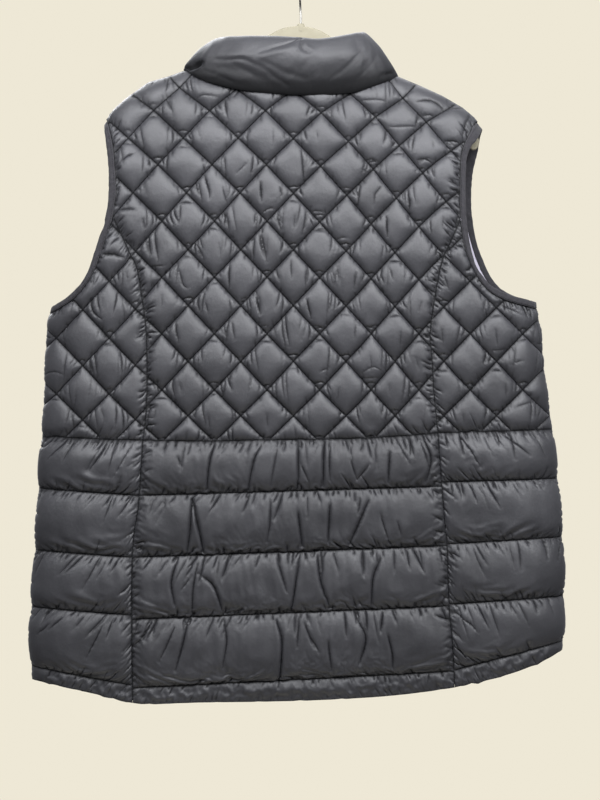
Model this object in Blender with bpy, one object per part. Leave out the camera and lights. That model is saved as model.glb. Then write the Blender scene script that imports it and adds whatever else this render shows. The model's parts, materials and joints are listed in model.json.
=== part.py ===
"""Quilted, padded waistcoat (puffer vest) hanging flat on a slim hanger.

Frame: metres, +Z up, origin at the inner top of the hanger's hook.  The
garment's back faces -Y, its zipped front faces +Y, +X is to the right when
the back is looked at.  Lengths below are millimetres.

Each panel of cloth is worked out on the same flattened tube.  A point of the
tube has the coordinates (s, t): s runs round the tube from the middle of the
back (or front), t runs down from the shoulder ridge.  The tube's half-depth
falls to nothing, on quarter ellipses, at the side seams and along the ridge.
A panel is a wall on that surface: thin along its stitch lines, padded between.
"""
import bpy
import bmesh
import math
import numpy as np
from mathutils import Vector
from mathutils.geometry import delaunay_2d_cdt

MM = 0.001

# ----------------------------------------------------------------- sizes, mm
SEAM_GAP = 0.3        # clear gap between two pieces that are sewn together
STITCH_WALL = 2.6     # wall along a stitch line: shell, squeezed filling, lining
DIAMOND_PUFF = 7.5    # rise of a quilted diamond's middle over its stitch lines
CHANNEL_PUFF = 9.5    # rise of a horizontal channel's middle
HEM_PUFF = 4.0        # rise of the narrow turned hem
SIDE_ROLL = 60.0      # width over which the tube rounds away at each side seam
TOP_ROLL = 110.0      # height over which it opens below the shoulder ridge
ROLL_DEPTH = 34.0     # half-depth that the side arc lengths are measured with
RIDGE_DEPTH = 24.0    # half-depth that the shoulder arc lengths are measured with
EDGE_STEP = 17.0      # spacing of the points along a seam
BINDING_WIDTH = 9.0   # elastic binding of the armholes
TAPE_WIDTH = 7.9      # what shows of each zip tape
TAPE_WALL = 1.2
ZIP_HALF_GAP = 9.0    # from the zip's middle to a front panel's edge
HANGER_WALL = 5.0
HANGER_TILT = 2.5     # degrees, the arm at +X lower
WIRE = 2.5            # hook wire
HOOK_RADIUS = 19.0    # inside
STEM_FOOT = -69.0     # height of the hook's foot

# flattened tube: height, left and right edge, half-depth of back and front
TUBE = [  # z, left, right, back, front
    (-80, -297, 284, 22, 20),
    (-200, -297, 284, 26, 22),
    (-320, -297, 284, 30, 25),
    (-412, -298, 283, 32, 27),
    (-440, -302, 287, 33, 28),
    (-500, -304, 292, 34, 28),
    (-560, -307, 301, 35, 29),
    (-620, -311, 307, 36, 29),
    (-680, -314, 312, 36, 30),
    (-740, -318, 314, 37, 30),
    (-800, -322, 314, 37, 30),
    (-850, -320, 312, 37, 30),
    (-920, -318, 311, 37, 30),
]
# shoulder ridge, and its unseen run over the neck and past the armholes
RIDGE = [  # x, z
    (-300, -232), (-260, -212), (-235, -192), (-223, -177), (-205, -162),
    (-180, -147), (-156, -140), (-134, -132), (-100, -118), (-50, -104),
    (0, -98), (50, -106), (90, -126), (113, -139), (144, -152),
    (168, -163), (192, -177), (205, -188), (213, -199), (240, -220),
    (284, -245),
]
NECK_BACK = [(-134, -132), (-118, -138), (-95, -144), (-60, -149), (0, -151),
             (50, -149), (80, -145), (100, -141.5), (113, -139)]
NECK_FRONT_LEFT = [(-134, -132), (-127, -150), (-106, -175), (-72, -198),
                   (-40, -209), (-18, -212)]
NECK_FRONT_RIGHT = [(113, -139), (107, -156), (88, -180), (55, -201),
                    (25, -210), (0, -212)]
ARM_BACK_LEFT = [(-231, -187), (-227, -204), (-224, -222), (-221, -258),
                 (-221, -282), (-225, -300), (-235, -336), (-249, -373),
                 (-267, -398), (-285, -412), (-298, -420)]
ARM_BACK_RIGHT = [(208, -192), (200, -210), (194, -226), (192, -258),
                  (192, -296), (196, -333), (205, -361), (221, -388),
                  (240, -404), (262, -414), (283, -421)]
ARM_FRONT_LEFT = [(-231, -187), (-227, -206), (-223, -230), (-221, -262),
                  (-223, -295), (-234, -336), (-249, -374), (-267, -399),
                  (-285, -412), (-298, -420)]
ARM_FRONT_RIGHT = [(208, -192), (204, -212), (200, -232), (198, -258),
                   (199, -290), (207, -330), (219, -364), (233, -388),
                   (247, -403), (264, -413), (283, -421)]
PRINCESS_LEFT = [(-223, -306), (-214, -325), (-203, -349), (-195, -366),
                 (-190, -397), (-185, -430), (-183, -481), (-184, -535),
                 (-188, -571), (-191, -620), (-194, -655), (-199, -685),
                 (-201, -727), (-201, -812), (-200, -885)]
PRINCESS_RIGHT = [(192, -306), (182, -330), (171, -354), (164, -385),
                  (156, -439), (158, -475), (161, -523), (165, -564),
                  (168, -607), (172, -655), (176, -700), (178, -764),
                  (182, -812), (185, -868)]
WAIST = [(-310, -566), (-253, -569), (-188, -571), (-120, -572), (-60, -571),
         (0, -570), (60, -569), (120, -566), (165, -562), (205, -561),
         (277, -559), (305, -558)]
HEM = [(-319, -860), (-300, -864), (-277, -869), (-253, -874), (-207, -886),
       (-180, -888), (-120, -886), (-48, -885), (24, -883), (96, -879),
       (144, -874), (192, -867), (241, -855), (289, -838), (313, -824)]
# stitch lines across the lower panels: height at each end of each panel
CHANNELS = [  # name, side left out/in, middle left/right, side right in/out
    ("seam1", -629, -637, -637, -626, -621, -617),
    ("seam2", -703, -711, -711, -697, -695, -687),
    ("seam3", -771, -780, -785, -769, -767, -758),
    ("hem", -842, -864, -867, -847, -846, -812),
]
# quilting: rows of crossings of the two sets of slanting stitch lines
QUILT_ROWS = [-118, -150, -176, -209, -241, -275, -309, -343, -376, -410,
              -444, -477, -511, -542, -573, -605]
QUILT_ROW0 = -1
QUILT_X = -8.0        # column 0 of the crossings
QUILT_PITCH = 63.0    # width of a diamond, 5 mm more at the neck
ZIP_LINE = [(-900, -5.0), (-212, -9.0)]  # z, x of the front's middle


# ------------------------------------------------------------- small helpers
def table(rows, xcol, ycol):
    a = np.array(sorted(rows, key=lambda r: r[xcol]), float)
    xs, ys = a[:, xcol], a[:, ycol]
    return lambda v: np.interp(v, xs, ys)


tube_left, tube_right = table(TUBE, 0, 1), table(TUBE, 0, 2)
tube_back, tube_front = table(TUBE, 0, 3), table(TUBE, 0, 4)
ridge_z = table(RIDGE, 0, 1)
zip_x = table(ZIP_LINE, 0, 1)


def arc_table(width, depth):
    """Arc length along (width sin a, depth cos a), a in 0..180 degrees."""
    a = np.linspace(0.0, math.pi, 721)
    step = np.hypot(np.diff(width * np.sin(a)), np.diff(depth * np.cos(a)))
    return a, np.concatenate(([0.0], np.cumsum(step)))


SIDE_A, SIDE_S = arc_table(SIDE_ROLL, ROLL_DEPTH)
TOP_A, TOP_S = arc_table(TOP_ROLL, RIDGE_DEPTH)
SIDE_LEN = float(np.interp(math.pi / 2, SIDE_A, SIDE_S))
TOP_LEN = float(np.interp(math.pi / 2, TOP_A, TOP_S))


def to_st(x, z):
    """(s, t) of the points of the tube seen at (x, z)."""
    x, z = np.asarray(x, float), np.asarray(z, float)
    left, right = tube_left(z), tube_right(z)
    mid, flat = (left + right) / 2, (right - left) / 2 - SIDE_ROLL
    d = np.abs(x - mid) - flat
    ang = np.arcsin(np.clip(d / SIDE_ROLL, 0.0, 1.0))
    s = np.where(d <= 0, np.abs(x - mid), flat + np.interp(ang, SIDE_A, SIDE_S))
    e = ridge_z(x) - z
    ang = np.arcsin(np.clip(1.0 - e / TOP_ROLL, 0.0, 1.0))
    t = np.where(e >= TOP_ROLL, TOP_LEN + e - TOP_ROLL,
                 TOP_LEN - np.interp(ang, TOP_A, TOP_S))
    return s * np.sign(x - mid), t


def point(side, s, t):
    """Points of the tube's surface at (s, t); side is -1 back, +1 front."""
    s, t = np.asarray(s, float), np.asarray(t, float)
    back = TOP_LEN - t
    ang_t = np.where(back > 0, np.interp(back, TOP_S, TOP_A), 0.0)
    drop = np.where(back > 0, TOP_ROLL * (1 - np.sin(ang_t)), TOP_ROLL - back)
    x, z = s * 0.95, ridge_z(s * 0.95) - drop
    for _ in range(12):
        left, right = tube_left(z), tube_right(z)
        mid, flat = (left + right) / 2, (right - left) / 2 - SIDE_ROLL
        over = np.abs(s) - flat
        ang_s = np.where(over > 0, np.interp(over, SIDE_S, SIDE_A), 0.0)
        out = np.where(over > 0, flat + SIDE_ROLL * np.sin(ang_s), np.abs(s))
        x = mid + np.sign(s) * out
        z = ridge_z(x) - drop
    depth = tube_back(z) if side < 0 else tube_front(z)
    y = side * depth * np.cos(ang_s) * np.cos(ang_t)
    return np.stack([x, y, z], -1)


def normal(side, s, t, h=0.6):
    s, t = np.asarray(s, float), np.asarray(t, float)
    ds = point(side, s + h, t) - point(side, s - h, t)
    dt = point(side, s, t + h) - point(side, s, t - h)
    n = np.cross(ds, dt) * side
    return n / np.linalg.norm(n, axis=-1, keepdims=True)


def smooth_path(pts, step):
    """Even points about `step` apart on a smooth curve through `pts`."""
    p = np.array(pts, float)
    q = np.vstack([2 * p[0] - p[1], p, 2 * p[-1] - p[-2]])
    out = []
    for i in range(1, len(q) - 2):
        for u in np.linspace(0, 1, 12, endpoint=False):
            a, b, c, d = q[i - 1], q[i], q[i + 1], q[i + 2]
            out.append(0.5 * (2 * b + (c - a) * u + (2 * a - 5 * b + 4 * c - d)
                              * u * u + (3 * b - a - 3 * c + d) * u ** 3))
    out.append(q[-2])
    out = np.array(out)
    run = np.concatenate(([0], np.cumsum(np.linalg.norm(np.diff(out, axis=0),
                                                        axis=1))))
    n = max(2, int(round(run[-1] / step)) + 1)
    at = np.linspace(0, run[-1], n)
    return np.stack([np.interp(at, run, out[:, k])
                     for k in range(out.shape[1])], 1)


def st_path(pts, step=EDGE_STEP):
    """A smooth seam through the (x, z) points, as even (s, t) points."""
    fine = smooth_path(pts, 4.0)
    s, t = to_st(fine[:, 0], fine[:, 1])
    return smooth_path(np.stack([s, t], 1)[::3], step)


def side_seam(sign, z0, z1):
    z = np.linspace(z0, z1, max(2, int(abs(z1 - z0) / EDGE_STEP) + 1))
    half = (tube_right(z) - tube_left(z)) / 2 - SIDE_ROLL + SIDE_LEN
    x = tube_right(z) if sign > 0 else tube_left(z)
    return np.stack([sign * half, to_st(x, z)[1]], 1)


def ridge_seam(x0, x1):
    n = max(2, int(abs(x1 - x0) / EDGE_STEP) + 1)
    x = np.linspace(x0, x1, n)
    return np.stack([to_st(x, ridge_z(x))[0], np.zeros(n)], 1)


def inset(loop, by):
    """The closed loop of (s, t) points moved inwards by `by`."""
    p = np.array(loop)
    area = 0.5 * np.sum(p[:, 0] * np.roll(p[:, 1], -1)
                        - np.roll(p[:, 0], -1) * p[:, 1])
    e = np.roll(p, -1, 0) - p
    e /= np.linalg.norm(e, axis=1, keepdims=True)
    n = np.stack([-e[:, 1], e[:, 0]], 1) * (1 if area > 0 else -1)
    m = n + np.roll(n, 1, 0)
    m /= np.maximum(np.sum(m * n, axis=1, keepdims=True), 0.6)
    return p + m * by


def inside(loop, pts):
    x, y = pts[:, 0][:, None], pts[:, 1][:, None]
    x0, y0 = loop[:, 0][None], loop[:, 1][None]
    x1, y1 = np.roll(loop[:, 0], -1)[None], np.roll(loop[:, 1], -1)[None]
    cross = ((y0 > y) != (y1 > y)) & (
        x < (x1 - x0) * (y - y0) / np.where(y1 == y0, 1e-9, y1 - y0) + x0)
    return np.sum(cross, 1) % 2 == 1


def edge_distance(loop, pts):
    a, b = loop[None], np.roll(loop, -1, 0)[None]
    p = pts[:, None]
    ab = b - a
    u = np.clip(np.sum((p - a) * ab, 2) / np.sum(ab * ab, 2), 0, 1)
    return np.min(np.linalg.norm(p - a - ab * u[..., None], axis=2), 1)


# ------------------------------------------------------------------ quilting
QUILT_Z = np.array(QUILT_ROWS, float)
QUILT_R = np.arange(len(QUILT_ROWS)) + QUILT_ROW0


def quilt_shift(x, r):
    """How far the crossings are drawn away from an even lattice."""
    fall = -17.0 * np.clip(1 - r / 9.0, 0, 1) * np.clip((x + 40) / 200, 0, 1.3) ** 1.6
    side = -5.0 * np.clip((-x - 170) / 30, 0, 1) * np.clip((r - 5) / 2, 0, 1)
    dx = -9.0 * np.clip((x - 70) / 90, 0, 1)
    return dx, fall + side


def quilt_coords(x, z):
    """Lattice column and row, stitch lines where (c+r)/2 or (r-c)/2 is whole."""
    r = np.interp(-z, -QUILT_Z, QUILT_R)
    for _ in range(4):
        dx, dz = quilt_shift(x, r)
        r = np.interp(-(z - dz), -QUILT_Z, QUILT_R)
    pitch = QUILT_PITCH + 5.0 * np.clip(1 - r / 5.0, 0, 1)
    return (x - dx - QUILT_X) / (pitch / 2), r


def quilt_point(c, r):
    z0 = np.interp(r, QUILT_R, QUILT_Z)
    pitch = QUILT_PITCH + 5.0 * np.clip(1 - r / 5.0, 0, 1)
    x = QUILT_X + c * pitch / 2
    z = z0
    for _ in range(6):
        dx, dz = quilt_shift(x, r)
        x, z = QUILT_X + c * pitch / 2 + dx, z0 + dz
    return np.array([x, z])


def diamonds(loop):
    """Stitch points, their edges, and the middles of the quilted diamonds."""
    pts, edges, mids, index = [], [], [], {}

    def add(c, r):
        key = (c, r)
        if key not in index:
            x, z = quilt_point(c, r)
            s, t = to_st(x, z)
            p = np.array([[float(s), float(t)]])
            ok = inside(loop, p)[0] and edge_distance(loop, p)[0] > 5.0
            index[key] = len(pts) if ok else -1
            if ok:
                pts.append(p[0])
        return index[key]

    for r in range(QUILT_ROW0, QUILT_ROW0 + len(QUILT_ROWS) - 1):
        for c in range(-12, 13):
            if (c + r) % 2:
                x, z = quilt_point(c, r)
                s, t = to_st(x, z)
                p = np.array([[float(s), float(t)]])
                if inside(loop, p)[0] and edge_distance(loop, p)[0] > 7.0:
                    mids.append(p[0])
                continue
            for way in (-1, 1):
                run = [add(c, r), add(c + way * 0.5, r + 0.5),
                       add(c + way, r + 1)]
                edges += [(a, b) for a, b in zip(run, run[1:])
                          if a >= 0 and b >= 0]
    nodes = [i for (c, r), i in index.items()
             if i >= 0 and float(c).is_integer()]
    return np.array(pts), edges, np.array(mids), nodes


# --------------------------------------------------------------- mesh makers
def material(name, colour, rough, metal=0.0):
    m = bpy.data.materials.new(name)
    m.use_nodes = True
    b = m.node_tree.nodes["Principled BSDF"]
    b.inputs["Base Color"].default_value = (*colour, 1)
    b.inputs["Roughness"].default_value = rough
    b.inputs["Metallic"].default_value = metal
    return m


def finish(name, verts, faces, mat, smooth=True):
    """One closed body from points in millimetres."""
    mesh = bpy.data.meshes.new(name)
    mesh.from_pydata([tuple(float(c) * MM for c in v) for v in verts], [],
                     [tuple(int(i) for i in f) for f in faces])
    bm = bmesh.new()
    bm.from_mesh(mesh)
    bmesh.ops.recalc_face_normals(bm, faces=bm.faces)
    if bm.calc_volume(signed=True) < 0:
        bmesh.ops.reverse_faces(bm, faces=bm.faces)
    bmesh.ops.triangulate(bm, faces=bm.faces)
    bm.to_mesh(mesh)
    bm.free()
    if smooth:
        mesh.shade_smooth()
        mesh.set_sharp_from_angle(angle=math.radians(40))
    own = mat.copy()
    own.name = mat.name + "." + name
    mesh.materials.append(own)
    obj = bpy.data.objects.new(name, mesh)
    bpy.context.scene.collection.objects.link(obj)
    return obj


def cdt(loop, pts, edges):
    n = len(loop)
    allp = np.vstack([loop, pts]) if len(pts) else loop
    cons = [(i, (i + 1) % n) for i in range(n)]
    cons += [(a + n, b + n) for a, b in edges]
    vs, _, fs, _, _, _ = delaunay_2d_cdt([Vector(p) for p in allp], cons, [],
                                         1, 1e-5, False)
    if len(vs) != len(allp):
        raise RuntimeError("stitch lines cross a seam")
    # drop what can be reached from outside without crossing the loop
    wall = {frozenset(c) for c in cons[:n]}
    share = {}
    for k, f in enumerate(fs):
        for i in range(3):
            share.setdefault(frozenset((f[i], f[(i + 1) % 3])), []).append(k)
    gone = set()
    front = [k for e, ks in share.items() if len(ks) == 1 and e not in wall
             for k in ks]
    while front:
        k = front.pop()
        if k in gone:
            continue
        gone.add(k)
        f = fs[k]
        for i in range(3):
            e = frozenset((f[i], f[(i + 1) % 3]))
            if e not in wall:
                front += [j for j in share[e] if j not in gone]
    return [f for k, f in enumerate(fs) if k not in gone]


def panel(name, side, seams, mat, rise, stitch, peaks, lattice=(), inner=()):
    """A padded wall bounded by the seams (an end-to-end list of (s, t) runs).

    rise(s, t) is the padding's height over the stitched wall, stitch are
    points on stitch lines and lattice the edges between them, peaks the
    points between the lines, and inner the points kept on the lining side.
    """
    loop = []
    for run in seams:
        for p in run:
            if not loop or np.linalg.norm(p - loop[-1]) > 1.0:
                loop.append(p)
    if np.linalg.norm(loop[0] - loop[-1]) < 1.0:
        loop.pop()
    loop = inset(loop, SEAM_GAP / 2)
    ok = lambda q, d: (q[inside(loop, q) & (edge_distance(loop, q) > d)]
                       if len(q) else np.zeros((0, 2)))
    stitch = np.array(stitch).reshape(-1, 2)
    peaks = ok(np.array(peaks).reshape(-1, 2), 6.0)
    inner = ok(np.array(inner).reshape(-1, 2), 6.0)
    n = len(loop)
    free = np.vstack([stitch, peaks])
    fo = cdt(loop, free, lattice)
    pts = np.vstack([loop, free])
    fade = np.clip(edge_distance(loop, pts) / 14.0, 0, 1) ** 0.6
    fade[:n] = 0
    h = STITCH_WALL + rise(pts[:, 0], pts[:, 1]) * fade
    outer = point(side, pts[:, 0], pts[:, 1]) + normal(
        side, pts[:, 0], pts[:, 1]) * h[:, None]
    fi = cdt(loop, inner, [])
    pin = np.vstack([loop, inner])
    lining = point(side, pin[:, 0], pin[:, 1])
    k = len(pts)
    faces = [tuple(f) for f in fo]
    faces += [tuple(k + i for i in reversed(f)) for f in fi]
    # the outer sheet's own winding decides how the rim is wound
    directed = {(f[i], f[(i + 1) % 3]) for f in fo for i in range(3)}
    for i in range(n):
        j = (i + 1) % n
        a, b = (i, j) if (i, j) in directed else (j, i)
        faces += [(b, a, k + a), (b, k + a, k + b)]
    return finish(name, np.vstack([outer, lining]), faces, mat)


def rows_grid(seams_z, x_left, x_right, step):
    """Points of a channelled panel: on its stitch lines and between them."""
    on, between, edges = [], [], []
    for i, line in enumerate(seams_z):
        if 0 < i < len(seams_z) - 1:
            z = line(np.array([0.5]))[0]
            n = max(2, int((x_right(z) - x_left(z)) / step))
            x = np.linspace(x_left(z), x_right(z), n + 1)[1:-1]
            zz = line((x - x_left(z)) / (x_right(z) - x_left(z)))
            s, t = to_st(x, zz)
            k = len(on)
            on += list(np.stack([s, t], 1))
            edges += [(k + j, k + j + 1) for j in range(len(x) - 1)]
    for a, b, shares in zip(seams_z, seams_z[1:],
                            [(0.16, 0.5, 0.86)] * (len(seams_z) - 2)
                            + [(0.5,)]):
        for v in shares:
            z = a(np.array([0.5]))[0] * (1 - v) + b(np.array([0.5]))[0] * v
            n = max(2, int((x_right(z) - x_left(z)) / step))
            off = 0.5 if v == 0.5 else 0.0
            u = (np.arange(0, n) + 0.5 + off) / (n + 0.5)
            u = u[(u > 0.02) & (u < 0.98)]
            x = x_left(z) + u * (x_right(z) - x_left(z))
            zz = a(u) * (1 - v) + b(u) * v
            s, t = to_st(x, zz)
            between += list(np.stack([s, t], 1))
    return on, edges, between


# --------------------------------------------------------------------- build
for old in list(bpy.data.objects):
    bpy.data.objects.remove(old, do_unlink=True)

NYLON = material("black_nylon_shell", (0.030, 0.031, 0.036), 0.42)
COLLAR = material("collar_nylon", (0.032, 0.033, 0.038), 0.42)
ELASTIC = material("armhole_elastic", (0.045, 0.044, 0.050), 0.85)
TAPE = material("zip_tape_weave", (0.020, 0.020, 0.023), 0.8)
METAL = material("zip_metal", (0.10, 0.10, 0.11), 0.35, 0.9)
BEIGE = material("hanger_plastic", (0.72, 0.66, 0.53), 0.6)
STEEL = material("hook_wire", (0.62, 0.62, 0.60), 0.3, 1.0)


def cut(path, at, axis):
    """Split a list of (x, z) points where coordinate `axis` passes `at`."""
    p = np.array(path, float)
    for i in range(len(p) - 1):
        a, b = p[i][axis], p[i + 1][axis]
        if (a - at) * (b - at) <= 0 and a != b:
            u = (at - a) / (b - a)
            m = p[i] * (1 - u) + p[i + 1] * u
            return np.vstack([p[:i + 1], m]), np.vstack([m, p[i + 1:]])
    raise RuntimeError("no crossing")


waist_z, hem_z = table(WAIST, 0, 1), table(HEM, 0, 1)
J_WL = np.array([-188.0, waist_z(-188.0)])      # princess seams at the waist
J_WR = np.array([165.0, waist_z(165.0)])
H_L = np.array([-200.0, hem_z(-200.0)])         # and at the hem
H_R = np.array([185.0, hem_z(185.0)])
PIT_L, PIT_R = np.array([-298.0, -420.0]), np.array([283.0, -421.0])
W_L = np.array([tube_left(-566), -566.0])       # waist at the side seams
W_R = np.array([tube_right(-558), -558.0])
C_L = np.array([tube_left(-860), -860.0])       # hem at the side seams
C_R = np.array([tube_right(-824), -824.0])
A_L, A_R = np.array(PRINCESS_LEFT[0]), np.array(PRINCESS_RIGHT[0])


def between(path, a, b):
    """The path's points strictly between a and b, with a and b as its ends."""
    p = np.array(path, float)
    axis = 0 if abs(a[0] - b[0]) > abs(a[1] - b[1]) else 1
    lo, hi = sorted((a[axis], b[axis]))
    keep = p[(p[:, axis] > lo + 4) & (p[:, axis] < hi - 4)]
    keep = keep[np.argsort(keep[:, axis] * (1 if b[axis] > a[axis] else -1))]
    return np.vstack([a, keep, b])


seam = {
    "princess_left_upper": st_path(between(PRINCESS_LEFT, A_L, J_WL)),
    "princess_left_lower": st_path(between(PRINCESS_LEFT, J_WL, H_L)),
    "princess_right_upper": st_path(between(PRINCESS_RIGHT, A_R, J_WR)),
    "princess_right_lower": st_path(between(PRINCESS_RIGHT, J_WR, H_R)),
    "waist_left": st_path(between(WAIST, W_L, J_WL)),
    "waist_middle": st_path(between(WAIST, J_WL, J_WR)),
    "waist_right": st_path(between(WAIST, J_WR, W_R)),
    "hem_left": st_path(between(HEM, C_L, H_L)),
    "hem_middle": st_path(between(HEM, H_L, H_R)),
    "hem_right": st_path(between(HEM, H_R, C_R)),
    "neck": st_path(NECK_BACK, 14.0),
    "neck_front_left": st_path(NECK_FRONT_LEFT, 14.0),
    "neck_front_right": st_path(NECK_FRONT_RIGHT, 14.0),
    "shoulder_left": ridge_seam(-134, -231),
    "shoulder_right": ridge_seam(113, 208),
    "side_left_upper": side_seam(-1, PIT_L[1], W_L[1]),
    "side_left_lower": side_seam(-1, W_L[1], C_L[1]),
    "side_right_upper": side_seam(1, PIT_R[1], W_R[1]),
    "side_right_lower": side_seam(1, W_R[1], C_R[1]),
}
# the armholes start on the ridge and end on the side seams
ARM_BACK_LEFT[0] = (-231, float(ridge_z(-231)))
ARM_FRONT_LEFT[0] = ARM_BACK_LEFT[0]
ARM_BACK_RIGHT[0] = (208, float(ridge_z(208)))
ARM_FRONT_RIGHT[0] = ARM_BACK_RIGHT[0]


def to_corner(run, start, end):
    """The run with its ends set exactly on the two corners."""
    run = run.copy()
    run[0], run[-1] = start, end
    return run


tip_l, tip_r = seam["shoulder_left"][-1], seam["shoulder_right"][-1]
pit_l, pit_r = seam["side_left_upper"][0], seam["side_right_upper"][0]
for key, path, tip, pit in (("arm_back_left", ARM_BACK_LEFT, tip_l, pit_l),
                            ("arm_back_right", ARM_BACK_RIGHT, tip_r, pit_r),
                            ("arm_front_left", ARM_FRONT_LEFT, tip_l, pit_l),
                            ("arm_front_right", ARM_FRONT_RIGHT, tip_r, pit_r)):
    seam[key] = to_corner(st_path(path, 13.0), tip, pit)


def split_at(run, corner):
    """Split a run at its point nearest to the corner, moved onto it."""
    i = int(np.argmin(np.linalg.norm(run - corner, axis=1)))
    i = min(max(i, 1), len(run) - 2)
    run[i] = corner
    return run[:i + 1], run[i:]


arm_l_top, arm_l_low = split_at(seam["arm_back_left"],
                                seam["princess_left_upper"][0])
arm_r_top, arm_r_low = split_at(seam["arm_back_right"],
                                seam["princess_right_upper"][0])
seam["waist_left"] = to_corner(seam["waist_left"], seam["side_left_upper"][-1],
                               seam["princess_left_upper"][-1])
seam["waist_right"] = to_corner(seam["waist_right"],
                                seam["princess_right_upper"][-1],
                                seam["side_right_upper"][-1])
seam["waist_middle"] = to_corner(seam["waist_middle"],
                                 seam["princess_left_upper"][-1],
                                 seam["princess_right_upper"][-1])
for key in ("princess_left_lower", "princess_right_lower"):
    seam[key][0] = seam[key.replace("lower", "upper")][-1]
seam["hem_left"] = to_corner(seam["hem_left"], seam["side_left_lower"][-1],
                             seam["princess_left_lower"][-1])
seam["hem_middle"] = to_corner(seam["hem_middle"],
                               seam["princess_left_lower"][-1],
                               seam["princess_right_lower"][-1])
seam["hem_right"] = to_corner(seam["hem_right"],
                              seam["princess_right_lower"][-1],
                              seam["side_right_lower"][-1])
seam["neck"] = to_corner(seam["neck"], seam["shoulder_left"][0],
                         seam["shoulder_right"][0])
seam["neck_front_left"][0] = seam["shoulder_left"][0]
seam["neck_front_right"][0] = seam["shoulder_right"][0]


def quilt_rise(side):
    def rise(s, t):
        p = point(side, s, t)
        c, r = quilt_coords(p[:, 0], p[:, 2])
        fa, fb = ((c + r) / 2) % 1.0, ((r - c) / 2) % 1.0
        return DIAMOND_PUFF * (1 - np.abs(2 * fa - 1) ** 2.2) * (
            1 - np.abs(2 * fb - 1) ** 2.2)
    return rise


def channel_rise(side, lines, x_left, x_right):
    def rise(s, t):
        p = point(side, s, t)
        u = (p[:, 0] - x_left(p[:, 2])) / (x_right(p[:, 2]) - x_left(p[:, 2]))
        z = p[:, 2]
        out = np.zeros(len(z))
        for i, (a, b) in enumerate(zip(lines, lines[1:])):
            v = (a(u) - z) / (a(u) - b(u))
            puff = HEM_PUFF if i == len(lines) - 2 else CHANNEL_PUFF
            out = np.where((v > 0.01) & (v < 0.99),
                           puff * (1 - np.abs(2 * v - 1) ** 2.6), out)
        return out
    return rise


def edge_support(side, loop_seams, ring=(9.0, 24.0)):
    """Points that hold a panel's round-over: by side seams and the ridge."""
    out = []
    for key, inward in loop_seams:
        run = seam[key]
        for d in ring:
            out += list(run[1:-1] + np.array(inward) * d)
    return out


def upper_panel(name, side, seams, supports):
    loop = inset(np.vstack([r[:-1] for r in seams]), SEAM_GAP / 2)
    pts, edges, mids, nodes = diamonds(loop)
    extra = np.array(edge_support(side, supports)).reshape(-1, 2)
    if len(extra):
        near = np.vstack([pts, mids]) if len(mids) else pts
        gap = np.min(np.linalg.norm(extra[:, None] - near[None], axis=2), 1)
        extra_out = extra[gap > 7.0]
    else:
        extra_out = extra
    peaks = np.vstack([mids.reshape(-1, 2), extra_out.reshape(-1, 2)])
    inner = np.vstack([pts[nodes].reshape(-1, 2), extra.reshape(-1, 2)])
    keep = [0]
    for i in range(1, len(inner)):
        if np.min(np.linalg.norm(inner[keep] - inner[i], axis=1)) > 7.0:
            keep.append(i)
    return panel(name, side, seams, NYLON, quilt_rise(side), pts, peaks, edges,
                 inner[keep])


def lines_for(cols, waist, hem):
    """Stitch lines of a lower panel as functions of the share u across it."""
    lines = [waist]
    for row in CHANNELS:
        a, b = row[cols[0]], row[cols[1]]
        lines.append(lambda u, a=a, b=b: a + (b - a) * np.asarray(u, float))
    lines.append(hem)
    return lines


def lower_panel(name, side, seams, cols, xl, xr, supports, step=31.0):
    waist = lambda u: waist_z(xl(-566) + (xr(-566) - xl(-566)) * np.asarray(u, float))
    hem = lambda u: hem_z(xl(-860) + (xr(-860) - xl(-860)) * np.asarray(u, float))
    lines = lines_for(cols, waist, hem)
    on, edges, mids = rows_grid(lines, xl, xr, step)
    loop = inset(np.vstack([r[:-1] for r in seams]), SEAM_GAP / 2)
    on = np.array(on)
    good = inside(loop, on) & (edge_distance(loop, on) > 5.0)
    where = {int(o): k for k, o in enumerate(np.nonzero(good)[0])}
    edges = [(where[a], where[b]) for a, b in edges if a in where and b in where]
    on = on[good]
    extra = np.array(edge_support(side, supports)).reshape(-1, 2)
    mids = np.array(mids)
    if len(extra):
        near = np.vstack([on, mids])
        extra = extra[np.min(np.linalg.norm(extra[:, None] - near[None], axis=2), 1) > 8]
        mids = np.vstack([mids, extra])
    inner = np.vstack([on[::2], extra]) if len(extra) else on[::2]
    return panel(name, side, seams, NYLON, channel_rise(side, lines, xl, xr),
                 on, mids, edges, inner)


down, up = (0, 1), (0, -1)
east, west = (1, 0), (-1, 0)
rev = lambda k: seam[k][::-1]
pl, pr = table([(b, a) for a, b in PRINCESS_LEFT], 0, 1), table(
    [(b, a) for a, b in PRINCESS_RIGHT], 0, 1)

# back, upper: quilted in diamonds
upper_panel("back_centre_upper", -1,
            [seam["neck"], seam["shoulder_right"], arm_r_top,
             seam["princess_right_upper"], rev("waist_middle"),
             rev("princess_left_upper"), arm_l_top[::-1],
             rev("shoulder_left")],
            [("shoulder_left", down), ("shoulder_right", down)])
upper_panel("back_side_upper_left", -1,
            [arm_l_low[::-1], seam["princess_left_upper"], rev("waist_left"),
             rev("side_left_upper")], [("side_left_upper", east)])
upper_panel("back_side_upper_right", -1,
            [arm_r_low, seam["side_right_upper"], rev("waist_right"),
             rev("princess_right_upper")], [("side_right_upper", west)])
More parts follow.
